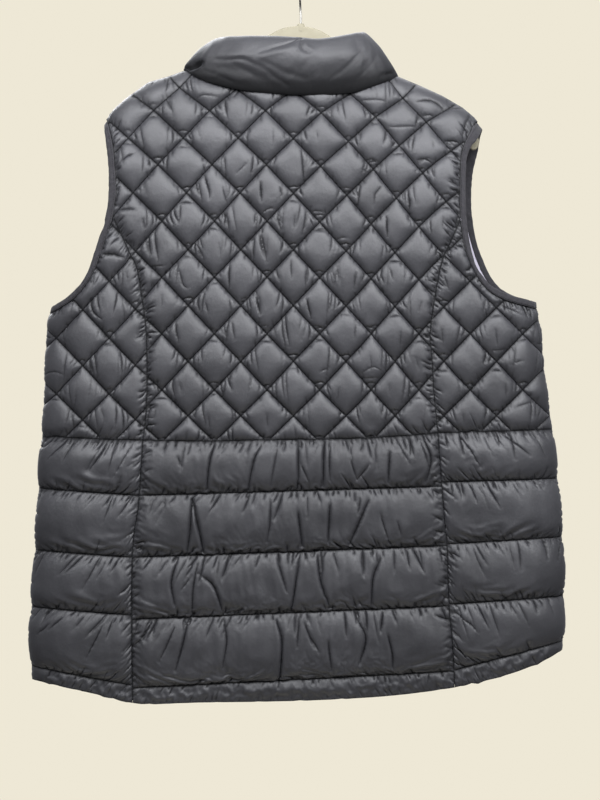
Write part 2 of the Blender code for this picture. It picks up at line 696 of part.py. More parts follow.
# back, lower: four channels and a narrow turned hem
lower_panel("back_centre_lower", -1,
            [seam["waist_middle"], seam["princess_right_lower"],
             rev("hem_middle"), rev("princess_left_lower")], (3, 4), pl, pr, [])
lower_panel("back_side_lower_left", -1,
            [seam["waist_left"], seam["princess_left_lower"],
             rev("hem_left"), rev("side_left_lower")], (1, 2), tube_left, pl,
            [("side_left_lower", east)])
lower_panel("back_side_lower_right", -1,
            [seam["waist_right"], seam["side_right_lower"],
             rev("hem_right"), rev("princess_right_lower")], (5, 6), pr,
            tube_right, [("side_right_lower", west)])

# front: one upper and one lower panel each side of the zip
ZTOP = -212.0


def zip_edge(sign, z0, z1):
    n = max(2, int(abs(z1 - z0) / EDGE_STEP) + 1)
    z = np.linspace(z0, z1, n)
    s, t = to_st(zip_x(z) + sign * ZIP_HALF_GAP, z)
    return np.stack([s, t], 1)


front_waist, front_hem = -570.0, -884.0
for sign, tag in ((-1, "left"), (1, "right")):
    up_edge = zip_edge(sign, ZTOP, front_waist)
    low_edge = zip_edge(sign, front_waist, front_hem)
    neck = seam["neck_front_" + tag]
    neck[-1] = up_edge[0]
    side_up, side_low = seam["side_%s_upper" % tag], seam["side_%s_lower" % tag]
    waist_pts = between([w for w in WAIST if abs(w[0]) < 300],
                        W_L if sign < 0 else W_R,
                        np.array([zip_x(front_waist) + sign * ZIP_HALF_GAP,
                                  front_waist]))
    hem_pts = between([h for h in HEM if abs(h[0]) < 300],
                      C_L if sign < 0 else C_R,
                      np.array([zip_x(front_hem) + sign * ZIP_HALF_GAP,
                                front_hem]))
    fw = to_corner(st_path(waist_pts), side_up[-1], up_edge[-1])
    fh = to_corner(st_path(hem_pts), side_low[-1], low_edge[-1])
    seam["zip_%s_upper" % tag], seam["zip_%s_lower" % tag] = up_edge, low_edge
    inward = east if sign < 0 else west
    upper_panel("front_%s_upper" % tag, 1,
                [seam["arm_front_" + tag], side_up, fw, up_edge[::-1],
                 neck[::-1], seam["shoulder_" + tag]],
                [("shoulder_" + tag, down), ("side_%s_upper" % tag, inward)])
    mid_edge = lambda z, sign=sign: zip_x(z) + sign * ZIP_HALF_GAP
    if sign < 0:
        xl, xr, cols = tube_left, mid_edge, (1, 3)
    else:
        xl, xr, cols = mid_edge, tube_right, (4, 6)
    lower_panel("front_%s_lower" % tag, 1,
                [fw, low_edge, fh[::-1], side_low[::-1]], cols, xl, xr,
                [("side_%s_lower" % tag, inward)])


# armhole bindings: a folded strip all round each armhole
def ring_solid(name, sections, mat, closed):
    """Loft through equal sections, capped when it is not closed."""
    m, k = len(sections), len(sections[0])
    verts = [p for sec in sections for p in sec]
    faces = []
    for i in range(m if closed else m - 1):
        a, b = i * k, ((i + 1) % m) * k
        for j in range(k):
            j2 = (j + 1) % k
            faces.append((a + j, a + j2, b + j2, b + j))
    if not closed:
        faces.append(tuple(range(k))[::-1])
        faces.append(tuple((m - 1) * k + j for j in range(k)))
    return finish(name, verts, faces, mat)


BINDING_SECTION = [  # share of the width outwards, height over the lining
    (0.0, -0.2), (0.0, 3.0), (0.45, 3.6), (1.0, 2.7), (1.0, 0.1), (0.5, -0.5),
]
for tag, sign in (("left", -1), ("right", 1)):
    sections = []
    for side, run in ((-1, seam["arm_back_" + tag]),
                      (1, seam["arm_front_" + tag][::-1])):
        fine = np.array(run)
        tang = np.gradient(fine, axis=0)
        tang /= np.linalg.norm(tang, axis=1, keepdims=True)
        # outwards is away from the cloth: up and to the side
        out = np.stack([tang[:, 1], -tang[:, 0]], 1)
        ref = np.array([sign, -0.4])
        out *= np.sign(out @ ref)[:, None]
        if side < 0:
            out[0] = (sign, 0.0)
            out[-1] = (0.0, -1.0)
        else:
            out[-1] = (sign, 0.0)
            out[0] = (0.0, -1.0)
        picks = range(len(fine)) if side < 0 else range(1, len(fine) - 1)
        for i in picks:
            sec = []
            for share, height in BINDING_SECTION:
                q = fine[i] + out[i] * (SEAM_GAP + share * BINDING_WIDTH)
                base = point(side, q[0], q[1])
                sec.append(base + normal(side, q[0], q[1]) * height)
            sections.append(sec)
    ring_solid("armhole_binding_" + tag, sections, ELASTIC, True)

# collar: a padded stand collar leaning out, folded over at the neck's sides
COLLAR_TOP = [  # 0 left zip edge, 1 and 2 the shoulders, 3 right zip edge
    (0.00, -15, 29, -149), (0.35, -38, 26, -140), (0.65, -62, 20, -122),
    (0.86, -80, 10, -101), (1.00, -88, 0, -88), (1.10, -84, -9, -86),
    (1.25, -62, -16, -87), (1.42, -28, -21, -88), (1.60, 20, -21, -88),
    (1.78, 56, -16, -86), (1.92, 74, -9, -82), (2.00, 78, 0, -83),
    (2.14, 70, 10, -98), (2.35, 54, 20, -120), (2.65, 27, 26, -139),
    (3.00, -3, 29, -149),
]
# across the collar: share of its height, how far out from the seam-to-edge
# line, measured along its outward normal
COLLAR_SECTION = [
    (0.000, 0.2), (0.000, 2.8), (-0.02, 7.0), (0.10, 12.5), (0.30, 16.0),
    (0.55, 15.0), (0.78, 11.0), (0.93, 6.5), (1.00, 2.0), (0.97, -1.5),
    (0.78, -3.2), (0.40, -3.6), (0.12, -2.2),
]
neck_runs, share = [], []
for part, (side, run) in enumerate(((1, seam["neck_front_left"][::-1]),
                                    (-1, seam["neck"]),
                                    (1, seam["neck_front_right"]))):
    fine = np.array(run)
    far = np.concatenate(([0], np.cumsum(np.linalg.norm(
        np.diff(fine, axis=0), axis=1))))
    tang = np.gradient(fine, axis=0)
    tang /= np.linalg.norm(tang, axis=1, keepdims=True)
    out = np.stack([tang[:, 1], -tang[:, 0]], 1)
    out *= np.where(out @ np.array([0, -1.0]) < 0, -1, 1)[:, None]
    for i in range(len(fine)):
        if neck_runs and i == 0:
            continue
        o = out[i]
        if (side > 0 and (i == 0 or i == len(fine) - 1)
                and abs(fine[i][1]) > 60):
            o = np.array([0.0, -1.0])
        if abs(fine[i][1]) < 1.0:
            o = np.array([0.6 if fine[i][0] < 0 else -0.6, -0.8])
        q = fine[i] + o * (SEAM_GAP / 2 + 0.6)
        share.append(part + far[i] / far[-1])
        neck_runs.append((point(side, q[0], q[1]), normal(side, q[0], q[1])))
foot = np.array([p for p, _ in neck_runs])
foot_n = np.array([n for _, n in neck_runs])
share = np.array(share)
top_tab = np.array(COLLAR_TOP, float)
top = np.stack([np.interp(share, top_tab[:, 0], top_tab[:, k])
                for k in (1, 2, 3)], 1)
sections = []
for i in range(len(foot)):
    a, b = foot[max(i - 1, 0)], foot[min(i + 1, len(foot) - 1)]
    c, d = top[max(i - 1, 0)], top[min(i + 1, len(foot) - 1)]
    along = (b - a) + (d - c)
    rise = top[i] - foot[i]
    n = np.cross(rise, along)
    n /= np.linalg.norm(n)
    if n @ foot_n[i] < 0:
        n = -n
    ends = min(1.0, 0.45 + 0.55 * min(share[i], 3 - share[i]) / 0.15)
    sec = []
    for v, h in COLLAR_SECTION:
        blend = min(1.0, max(v, 0.0) / 0.12)
        nn = foot_n[i] * (1 - blend) + n * blend
        nn /= np.linalg.norm(nn)
        hh = h if abs(h) < 3.0 and v < 0.05 else h * ends
        sec.append(foot[i] + rise * v + nn * hh)
    sections.append(sec)
ring_solid("collar", sections, COLLAR, False)

# zip: two tapes, the slider and its pull tab
def tape(name, sign):
    sections = []
    for z in np.linspace(ZTOP - 0.5, -872.0, 22):
        sec = []
        for off, height in ((0.8, 0.5), (0.8, 0.5 + TAPE_WALL),
                            (0.8 + TAPE_WIDTH - 0.1, 0.5 + TAPE_WALL),
                            (0.8 + TAPE_WIDTH - 0.1, 0.5)):
            x = zip_x(z) + sign * off
            sec.append((x, tube_front(z) * np.cos(0) + height, z))
        sections.append(sec)
    return ring_solid(name, sections, TAPE, False)


def box_faces(k):
    return [(k, k + 1, k + 2, k + 3), (k + 7, k + 6, k + 5, k + 4),
            (k, k + 4, k + 5, k + 1), (k + 1, k + 5, k + 6, k + 2),
            (k + 2, k + 6, k + 7, k + 3), (k + 3, k + 7, k + 4, k)]


def prism(name, outline, lo, hi, axis, mat, smooth=False):
    """Extrude a 2D outline along an axis (0 x, 1 y, 2 z)."""
    verts = []
    for h in (lo, hi):
        for a, b in outline:
            v = [a, b]
            v.insert(axis, h)
            verts.append(v)
    n = len(outline)
    faces = [tuple(range(n)), tuple(range(2 * n - 1, n - 1, -1))]
    faces += [(i, (i + 1) % n, n + (i + 1) % n, n + i) for i in range(n)]
    return finish(name, verts, faces, mat, smooth)


tape("zip_tape_left", -1)
tape("zip_tape_right", 1)

SLIDER_Z = -224.0     # middle of the slider, just under the neck seam
sx = float(zip_x(SLIDER_Z))
sy = float(tube_front(SLIDER_Z)) + 0.5 + TAPE_WALL / 2   # middle of the tapes
gap = TAPE_WALL / 2 + 0.5
plates = [(-0.5, gap), (-4.6, gap), (-4.2, gap + 1.6), (4.2, gap + 1.6),
          (4.6, gap), (0.5, gap), (0.5, -gap), (4.4, -gap),
          (4.0, -gap - 1.3), (-4.0, -gap - 1.3), (-4.4, -gap), (-0.5, -gap)]
slider = prism("zip_slider", [(sx + a, sy + b) for a, b in plates],
               SLIDER_Z - 6.5, SLIDER_Z + 6.5, 2, METAL)
PIN_Y = sy + gap + 1.6 + 1.6      # hinge line of the pull tab
PIN_Z = SLIDER_Z + 0.5
bridge = [(-4.6, -1.9), (-4.6, 2.0), (-3.6, 3.0), (3.6, 3.0), (4.6, 2.0),
          (4.6, -1.9), (3.1, -1.9), (3.1, 1.6), (-3.1, 1.6), (-3.1, -1.9)]
loop = prism("slider_bridge", [(PIN_Y + b, PIN_Z + a) for a, b in bridge],
             sx - 0.8, sx + 0.8, 0, METAL)
mod = slider.modifiers.new("bridge", "BOOLEAN")
mod.operation, mod.solver, mod.object = "UNION", "EXACT", loop
loop.hide_render = True
loop.display_type = "WIRE"

# pull tab: an eye round the slider's bridge, then a plate that widens
tab_outline = [(-3.4, 1.0), (3.4, 1.0), (3.8, 0.0), (3.8, -7.5), (4.4, -12.0),
               (4.6, -28.0), (3.2, -31.0), (-3.2, -31.0), (-4.6, -28.0),
               (-4.4, -12.0), (-3.8, -7.5), (-3.8, 0.0)]
eye = [(-2.2, -0.9), (2.2, -0.9), (2.2, -6.4), (-2.2, -6.4)]
tab_thick = 0.75
verts, faces = [], []
for h in (-tab_thick, tab_thick):
    for a, b in tab_outline:
        verts.append((a, h, b))
    for a, b in eye:
        verts.append((a, h, b))
no, ne = len(tab_outline), len(eye)
k = no + ne
cons = [(i, (i + 1) % no) for i in range(no)]
cons += [(no + i, no + (i + 1) % ne) for i in range(ne)]
vs, _, fs, _, _, _ = delaunay_2d_cdt([Vector(p) for p in tab_outline + eye],
                                     cons, [], 1, 1e-5, False)
for f in fs:
    mid = np.mean([tuple(vs[i]) for i in f], axis=0)[None]
    if inside(np.array(eye), mid)[0] or not inside(np.array(tab_outline), mid)[0]:
        continue
    faces.append(tuple(f))
    faces.append(tuple(k + i for i in reversed(f)))
for i in range(no):
    j = (i + 1) % no
    faces.append((i, j, k + j, k + i))
for i in range(ne):
    j = (i + 1) % ne
    faces.append((no + j, no + i, k + no + i, k + no + j))
tab = finish("zip_pull_tab", verts, faces, METAL, False)
tab.location = (sx * MM, PIN_Y * MM, PIN_Z * MM)

# hanger: a flat plate with a domed crest and two sloping arms
HANGER_DROP = [  # distance out from the middle, drop of the top edge
    (0, 0), (20, 3.3), (38, 12), (60, 26), (90, 46), (119, 66), (133, 73),
    (155, 81), (180, 91), (205, 107), (216, 116)]
half_top = smooth_path(HANGER_DROP, 11.0)
drop_low = [(0, 34), (30, 36), (50, 41), (75, 52), (100, 69), (119, 83),
            (133, 89), (155, 96), (180, 106), (202, 120), (210, 127)]
half_low = smooth_path(drop_low, 13.0)
tip = [(219.5, 121), (219.5, 127), (215.5, 130)]
right = [tuple(p) for p in half_top] + tip + [tuple(p) for p in half_low[::-1]]
left = [(-u, d) for u, d in reversed(right) if u > 0.01]
th = math.radians(HANGER_TILT)


def hanger_xz(u, d):
    v = d + 5.0
    return (u * math.cos(th) - v * math.sin(th) + 1.0,
            -v * math.cos(th) - u * math.sin(th) + STEM_FOOT)


outline = [hanger_xz(u, d) for u, d in right + left]
n = len(outline)
verts, ring = [], []
mid = np.array(outline)
inner_line = inset(mid, 1.3)
for y, pts in ((-HANGER_WALL / 2, inner_line), (-HANGER_WALL / 2 + 1.3, mid),
               (HANGER_WALL / 2 - 1.3, mid), (HANGER_WALL / 2, inner_line)):
    verts += [(p[0], y, p[1]) for p in pts]
faces = []
for r in range(3):
    for i in range(n):
        j = (i + 1) % n
        faces.append((r * n + i, r * n + j, (r + 1) * n + j, (r + 1) * n + i))
capf = cdt(inner_line, np.zeros((0, 2)), [])
faces += [tuple(f) for f in capf] + [tuple(3 * n + i for i in reversed(f)) for f in capf]
finish("hanger", verts, faces, BEIGE)

# hook: a short stem, then three quarters of a ring across the hanger's plane
r0 = HOOK_RADIUS + WIRE / 2
foot_x, foot_z = hanger_xz(0, 0)
path = [(1.0, 0.0, foot_z + 0.35), (1.0, 0.0, -60.0), (0.6, 0.0, -52.0)]
path += [(0.2, -1.6, -45.5), (0.0, -5.5, -40.6)]
for a in range(-60, 206, 15):
    ang = math.radians(a)
    path.append((0.0, -r0 * math.cos(ang), -HOOK_RADIUS + r0 * math.sin(ang)))
curve = smooth_path(path, 5.5)
sections = []
ref = np.array([1.0, 0, 0])
tang = np.gradient(curve, axis=0)
for p, d in zip(curve, tang):
    d = d / np.linalg.norm(d)
    u = ref - d * (ref @ d)
    u /= np.linalg.norm(u)
    w = np.cross(d, u)
    sections.append([p + (u * math.cos(q) + w * math.sin(q)) * WIRE / 2
                     for q in np.linspace(0, 2 * math.pi, 10, endpoint=False)])
ring_solid("hook", sections, STEEL, False)
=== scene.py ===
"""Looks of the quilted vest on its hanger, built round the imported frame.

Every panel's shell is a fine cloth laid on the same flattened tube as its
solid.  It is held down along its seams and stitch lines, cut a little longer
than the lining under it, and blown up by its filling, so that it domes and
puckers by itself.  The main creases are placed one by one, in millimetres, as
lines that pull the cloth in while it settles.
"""
import bpy
import bmesh
import json
import math
import numpy as np
from concurrent.futures import ThreadPoolExecutor
from mathutils import Matrix, Vector
from mathutils.geometry import delaunay_2d_cdt
from mathutils.kdtree import KDTree

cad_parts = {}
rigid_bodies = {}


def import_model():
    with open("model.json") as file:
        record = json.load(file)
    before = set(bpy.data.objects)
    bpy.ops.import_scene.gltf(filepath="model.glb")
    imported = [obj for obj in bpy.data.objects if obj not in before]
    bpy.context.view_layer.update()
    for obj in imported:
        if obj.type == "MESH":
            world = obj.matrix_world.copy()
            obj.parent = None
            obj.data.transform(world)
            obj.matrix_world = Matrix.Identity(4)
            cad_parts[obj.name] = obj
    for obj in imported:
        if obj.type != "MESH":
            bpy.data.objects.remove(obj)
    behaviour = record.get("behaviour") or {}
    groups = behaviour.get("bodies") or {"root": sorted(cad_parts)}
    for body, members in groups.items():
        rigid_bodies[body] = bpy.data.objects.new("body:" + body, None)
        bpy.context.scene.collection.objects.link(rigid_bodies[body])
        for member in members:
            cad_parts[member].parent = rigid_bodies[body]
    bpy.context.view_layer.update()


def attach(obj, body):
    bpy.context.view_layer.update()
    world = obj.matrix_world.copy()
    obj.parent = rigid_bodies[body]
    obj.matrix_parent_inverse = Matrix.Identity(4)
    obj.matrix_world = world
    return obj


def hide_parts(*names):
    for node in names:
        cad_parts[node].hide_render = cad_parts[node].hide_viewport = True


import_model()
MM = 0.001

# ------------------------------------------------------- the tube, as in CAD
SEAM_GAP = 0.3
SIDE_ROLL, TOP_ROLL = 60.0, 110.0
ROLL_DEPTH, RIDGE_DEPTH = 34.0, 24.0
BINDING_WIDTH = 9.0
ZIP_HALF_GAP = 9.0
HANGER_TILT = 2.5
STEM_FOOT = -69.0

TUBE = [  # z, left, right, back, front
    (-80, -297, 284, 22, 20),
    (-200, -297, 284, 26, 22),
    (-320, -297, 284, 30, 25),
    (-412, -298, 283, 32, 27),
    (-440, -302, 287, 33, 28),
    (-500, -304, 292, 34, 28),
    (-560, -307, 301, 35, 29),
    (-620, -311, 307, 36, 29),
    (-680, -314, 312, 36, 30),
    (-740, -318, 314, 37, 30),
    (-800, -322, 314, 37, 30),
    (-850, -320, 312, 37, 30),
    (-920, -318, 311, 37, 30),
]
RIDGE = [  # x, z
    (-300, -232), (-260, -212), (-235, -192), (-223, -177), (-205, -162),
    (-180, -147), (-156, -140), (-134, -132), (-100, -118), (-50, -104),
    (0, -98), (50, -106), (90, -126), (113, -139), (144, -152),
    (168, -163), (192, -177), (205, -188), (213, -199), (240, -220),
    (284, -245),
]
NECK_BACK = [(-134, -132), (-118, -138), (-95, -144), (-60, -149), (0, -151),
             (50, -149), (80, -145), (100, -141.5), (113, -139)]
NECK_FRONT_LEFT = [(-134, -132), (-127, -150), (-106, -175), (-72, -198),
                   (-40, -209), (-18, -212)]
NECK_FRONT_RIGHT = [(113, -139), (107, -156), (88, -180), (55, -201),
                    (25, -210), (0, -212)]
ARM_BACK_LEFT = [(-231, -187), (-227, -204), (-224, -222), (-221, -258),
                 (-221, -282), (-225, -300), (-235, -336), (-249, -373),
                 (-267, -398), (-285, -412), (-298, -420)]
ARM_BACK_RIGHT = [(208, -192), (200, -210), (194, -226), (192, -258),
                  (192, -296), (196, -333), (205, -361), (221, -387),
                  (240, -401), (262, -408.5), (283, -413)]
ARM_FRONT_LEFT = [(-231, -187), (-227, -206), (-223, -230), (-221, -262),
                  (-223, -295), (-234, -336), (-249, -374), (-267, -399),
                  (-285, -412), (-298, -420)]
ARM_FRONT_RIGHT = [(208, -192), (204, -212), (200, -232), (198, -258),
                   (199, -290), (207, -330), (219, -364), (233, -387),
                   (247, -400), (264, -408.5), (283, -413)]
PRINCESS_LEFT = [(-223, -306), (-214, -325), (-203, -349), (-195, -366),
                 (-190, -397), (-185, -430), (-183, -481), (-184, -535),
                 (-188, -571), (-191, -620), (-194, -655), (-199, -685),
                 (-201, -727), (-201, -812), (-200, -885)]
PRINCESS_RIGHT = [(192, -306), (182, -330), (171, -354), (164, -385),
                  (156, -439), (158, -475), (161, -523), (165, -564),
                  (168, -607), (172, -655), (176, -700), (178, -764),
                  (182, -812), (185, -868)]
WAIST = [(-310, -566), (-253, -569), (-188, -571), (-120, -572), (-60, -571),
         (0, -570), (60, -569), (120, -566), (165, -562), (205, -561),
         (277, -559), (305, -558)]
HEM = [(-319, -860), (-300, -864), (-277, -869), (-253, -874), (-207, -886),
       (-180, -888), (-120, -886), (-48, -885), (24, -883), (96, -879),
       (144, -874), (192, -867), (241, -855), (289, -838), (313, -824)]
CHANNELS = [  # name, side left out/in, middle left/right, side right in/out
    ("seam1", -629, -637, -637, -626, -621, -617),
    ("seam2", -703, -711, -711, -697, -695, -687),
    ("seam3", -771, -780, -785, -769, -767, -758),
    ("hem", -842, -864, -867, -847, -846, -812),
]
QUILT_ROWS = [-118, -150, -176, -209, -241, -275, -309, -343, -376, -410,
              -444, -477, -511, -542, -573, -605]
QUILT_ROW0 = -1
QUILT_X = -8.0
QUILT_PITCH = 63.0
ZIP_LINE = [(-900, -5.0), (-212, -9.0)]


def table(rows, xcol, ycol):
    a = np.array(sorted(rows, key=lambda r: r[xcol]), float)
    xs, ys = a[:, xcol], a[:, ycol]
    return lambda v: np.interp(v, xs, ys)


def soft_table(rows, xcol, ycol, reach=9.0):
    """The same table with its corners rounded off over `reach`."""
    f = table(rows, xcol, ycol)
    return lambda v: (f(np.asarray(v) - reach) + f(np.asarray(v) + reach)
                      + 2 * f(v)) / 4


tube_left, tube_right = table(TUBE, 0, 1), table(TUBE, 0, 2)
tube_back, tube_front = table(TUBE, 0, 3), table(TUBE, 0, 4)
ridge_z = table(RIDGE, 0, 1)
zip_x = table(ZIP_LINE, 0, 1)


def arc_table(width, depth):
    a = np.linspace(0.0, math.pi, 721)
    step = np.hypot(np.diff(width * np.sin(a)), np.diff(depth * np.cos(a)))
    return a, np.concatenate(([0.0], np.cumsum(step)))


SIDE_A, SIDE_S = arc_table(SIDE_ROLL, ROLL_DEPTH)
TOP_A, TOP_S = arc_table(TOP_ROLL, RIDGE_DEPTH)
SIDE_LEN = float(np.interp(math.pi / 2, SIDE_A, SIDE_S))
TOP_LEN = float(np.interp(math.pi / 2, TOP_A, TOP_S))


def to_st(x, z):
    x, z = np.asarray(x, float), np.asarray(z, float)
    left, right = tube_left(z), tube_right(z)
    mid, flat = (left + right) / 2, (right - left) / 2 - SIDE_ROLL
    d = np.abs(x - mid) - flat
    ang = np.arcsin(np.clip(d / SIDE_ROLL, 0.0, 1.0))
    s = np.where(d <= 0, np.abs(x - mid), flat + np.interp(ang, SIDE_A, SIDE_S))
    e = ridge_z(x) - z
    ang = np.arcsin(np.clip(1.0 - e / TOP_ROLL, 0.0, 1.0))
    t = np.where(e >= TOP_ROLL, TOP_LEN + e - TOP_ROLL,
                 TOP_LEN - np.interp(ang, TOP_A, TOP_S))
    return s * np.sign(x - mid), t


def point(side, s, t):
    s, t = np.asarray(s, float), np.asarray(t, float)
    back = TOP_LEN - t
    ang_t = np.where(back > 0, np.interp(back, TOP_S, TOP_A), 0.0)
    drop = np.where(back > 0, TOP_ROLL * (1 - np.sin(ang_t)), TOP_ROLL - back)
    x, z = s * 0.95, ridge_z(s * 0.95) - drop
    for _ in range(12):
        left, right = tube_left(z), tube_right(z)
        mid, flat = (left + right) / 2, (right - left) / 2 - SIDE_ROLL
        over = np.abs(s) - flat
        ang_s = np.where(over > 0, np.interp(over, SIDE_S, SIDE_A), 0.0)
        out = np.where(over > 0, flat + SIDE_ROLL * np.sin(ang_s), np.abs(s))
        x = mid + np.sign(s) * out
        z = ridge_z(x) - drop
    depth = tube_back(z) if side < 0 else tube_front(z)
    y = side * depth * np.cos(ang_s) * np.cos(ang_t)
    return np.stack([x, y, z], -1)


def normal(side, s, t, h=3.0):
    s, t = np.asarray(s, float), np.asarray(t, float)
    ds = point(side, s + h, t) - point(side, s - h, t)
    dt = point(side, s, t + h) - point(side, s, t - h)
    n = np.cross(ds, dt) * side
    return n / np.linalg.norm(n, axis=-1, keepdims=True)


def smooth_path(pts, step):
    p = np.array(pts, float)
    q = np.vstack([2 * p[0] - p[1], p, 2 * p[-1] - p[-2]])
    u = np.linspace(0, 1, 12, endpoint=False)[:, None]
    out = []
    for i in range(1, len(q) - 2):
        a, b, c, d = q[i - 1], q[i], q[i + 1], q[i + 2]
        out.append(0.5 * (2 * b + (c - a) * u + (2 * a - 5 * b + 4 * c - d)
                          * u * u + (3 * b - a - 3 * c + d) * u ** 3))
    out = np.vstack(out + [q[-2:-1]])
    run = np.concatenate(([0], np.cumsum(np.linalg.norm(np.diff(out, axis=0),
                                                        axis=1))))
    n = max(2, int(round(run[-1] / step)) + 1)
    at = np.linspace(0, run[-1], n)
    return np.stack([np.interp(at, run, out[:, k])
                     for k in range(out.shape[1])], 1)


def even(run, step):
    """The same polyline with even points about `step` apart."""
    run = np.asarray(run, float)
    far = np.concatenate(([0], np.cumsum(np.linalg.norm(np.diff(run, axis=0),
                                                        axis=1))))
    n = max(1, int(round(far[-1] / step)))
    at = np.linspace(0, far[-1], n + 1)
    return np.stack([np.interp(at, far, run[:, k])
                     for k in range(run.shape[1])], 1)


def st_path(pts, step=4.0):
    fine = smooth_path(pts, 4.0)
    s, t = to_st(fine[:, 0], fine[:, 1])
    return smooth_path(np.stack([s, t], 1)[::3], step)


def side_seam(sign, z0, z1):
    z = np.linspace(z0, z1, max(2, int(abs(z1 - z0) / 4.0) + 1))
    half = (tube_right(z) - tube_left(z)) / 2 - SIDE_ROLL + SIDE_LEN
    x = tube_right(z) if sign > 0 else tube_left(z)
    return np.stack([sign * half, to_st(x, z)[1]], 1)


def ridge_seam(x0, x1):
    n = max(2, int(abs(x1 - x0) / 4.0) + 1)
    x = np.linspace(x0, x1, n)
    return np.stack([to_st(x, ridge_z(x))[0], np.zeros(n)], 1)


def inset(loop, by):
    p = np.array(loop)
    area = 0.5 * np.sum(p[:, 0] * np.roll(p[:, 1], -1)
                        - np.roll(p[:, 0], -1) * p[:, 1])
    e = np.roll(p, -1, 0) - p
    e /= np.linalg.norm(e, axis=1, keepdims=True)
    n = np.stack([-e[:, 1], e[:, 0]], 1) * (1 if area > 0 else -1)
    m = n + np.roll(n, 1, 0)
    m /= np.maximum(np.sum(m * n, axis=1, keepdims=True), 0.6)
    return p + m * by


def inside(loop, pts):
    out = np.zeros(len(pts), bool)
    x0, y0 = loop[:, 0][None], loop[:, 1][None]
    x1, y1 = np.roll(loop[:, 0], -1)[None], np.roll(loop[:, 1], -1)[None]
    for k in range(0, len(pts), 4000):
        x, y = pts[k:k + 4000, 0][:, None], pts[k:k + 4000, 1][:, None]
        cross = ((y0 > y) != (y1 > y)) & (
            x < (x1 - x0) * (y - y0) / np.where(y1 == y0, 1e-9, y1 - y0) + x0)
        out[k:k + 4000] = np.sum(cross, 1) % 2 == 1
    return out


def line_distance(a, b, pts):
    """Least distance of each point to the segments a-b, and how far along."""
    out = np.full(len(pts), 1e9)
    ab = b - a
    for k in range(0, len(pts), 2000):
        p = pts[k:k + 2000, None]
        u = np.clip(np.sum((p - a) * ab, 2) / np.maximum(np.sum(ab * ab, 1), 1e-9),
                    0, 1)
        out[k:k + 2000] = np.min(np.linalg.norm(p - a - ab * u[..., None],
                                                axis=2), 1)
    return out


QUILT_Z = np.array(QUILT_ROWS, float)
QUILT_R = np.arange(len(QUILT_ROWS)) + QUILT_ROW0


def quilt_shift(x, r):
    fall = -17.0 * np.clip(1 - r / 9.0, 0, 1) * np.clip((x + 40) / 200, 0, 1.3) ** 1.6
    side = -5.0 * np.clip((-x - 170) / 30, 0, 1) * np.clip((r - 5) / 2, 0, 1)
    dx = -9.0 * np.clip((x - 70) / 90, 0, 1)
    return dx, fall + side


def quilt_coords(x, z):
    r = np.interp(-z, -QUILT_Z, QUILT_R)
    for _ in range(4):
        dx, dz = quilt_shift(x, r)
        r = np.interp(-(z - dz), -QUILT_Z, QUILT_R)
    pitch = QUILT_PITCH + 5.0 * np.clip(1 - r / 5.0, 0, 1)
    return (x - dx - QUILT_X) / (pitch / 2), r


def quilt_point(c, r):
    c, r = np.asarray(c, float), np.asarray(r, float)
    z0 = np.interp(r, QUILT_R, QUILT_Z)
    pitch = QUILT_PITCH + 5.0 * np.clip(1 - r / 5.0, 0, 1)
    x = QUILT_X + c * pitch / 2
    z = z0
    for _ in range(6):
        dx, dz = quilt_shift(x, r)
        x, z = QUILT_X + c * pitch / 2 + dx, z0 + dz
    return np.stack([x, z], -1)


# ----------------------------------------------------------------- the seams
def cut_between(path, a, b):
    p = np.array(path, float)
    axis = 0 if abs(a[0] - b[0]) > abs(a[1] - b[1]) else 1
    lo, hi = sorted((a[axis], b[axis]))
    keep = p[(p[:, axis] > lo + 4) & (p[:, axis] < hi - 4)]
    keep = keep[np.argsort(keep[:, axis] * (1 if b[axis] > a[axis] else -1))]
    return np.vstack([a, keep, b])


waist_z, hem_z = table(WAIST, 0, 1), table(HEM, 0, 1)
J_WL = np.array([-188.0, waist_z(-188.0)])
J_WR = np.array([165.0, waist_z(165.0)])
H_L = np.array([-200.0, hem_z(-200.0)])
H_R = np.array([185.0, hem_z(185.0)])
PIT_L, PIT_R = np.array([-298.0, -420.0]), np.array([283.0, -413.0])
W_L = np.array([tube_left(-566), -566.0])
W_R = np.array([tube_right(-558), -558.0])
C_L = np.array([tube_left(-860), -860.0])
C_R = np.array([tube_right(-824), -824.0])
A_L, A_R = np.array(PRINCESS_LEFT[0]), np.array(PRINCESS_RIGHT[0])

seam = {
    "princess_left_upper": st_path(cut_between(PRINCESS_LEFT, A_L, J_WL)),
    "princess_left_lower": st_path(cut_between(PRINCESS_LEFT, J_WL, H_L)),
    "princess_right_upper": st_path(cut_between(PRINCESS_RIGHT, A_R, J_WR)),
    "princess_right_lower": st_path(cut_between(PRINCESS_RIGHT, J_WR, H_R)),
    "waist_left": st_path(cut_between(WAIST, W_L, J_WL)),
    "waist_middle": st_path(cut_between(WAIST, J_WL, J_WR)),
    "waist_right": st_path(cut_between(WAIST, J_WR, W_R)),
    "hem_left": st_path(cut_between(HEM, C_L, H_L)),
    "hem_middle": st_path(cut_between(HEM, H_L, H_R)),
    "hem_right": st_path(cut_between(HEM, H_R, C_R)),
    "neck": st_path(NECK_BACK),
    "neck_front_left": st_path(NECK_FRONT_LEFT),
    "neck_front_right": st_path(NECK_FRONT_RIGHT),
    "shoulder_left": ridge_seam(-134, -231),
    "shoulder_right": ridge_seam(113, 208),
    "side_left_upper": side_seam(-1, PIT_L[1], W_L[1]),
    "side_left_lower": side_seam(-1, W_L[1], C_L[1]),
    "side_right_upper": side_seam(1, PIT_R[1], W_R[1]),
    "side_right_lower": side_seam(1, W_R[1], C_R[1]),
}
for key, corner in (("princess_left_lower", H_L), ("princess_right_lower", H_R),
                    ("princess_left_upper", J_WL),
                    ("princess_right_upper", J_WR)):
    seam[key][-1] = np.stack(to_st(*corner))
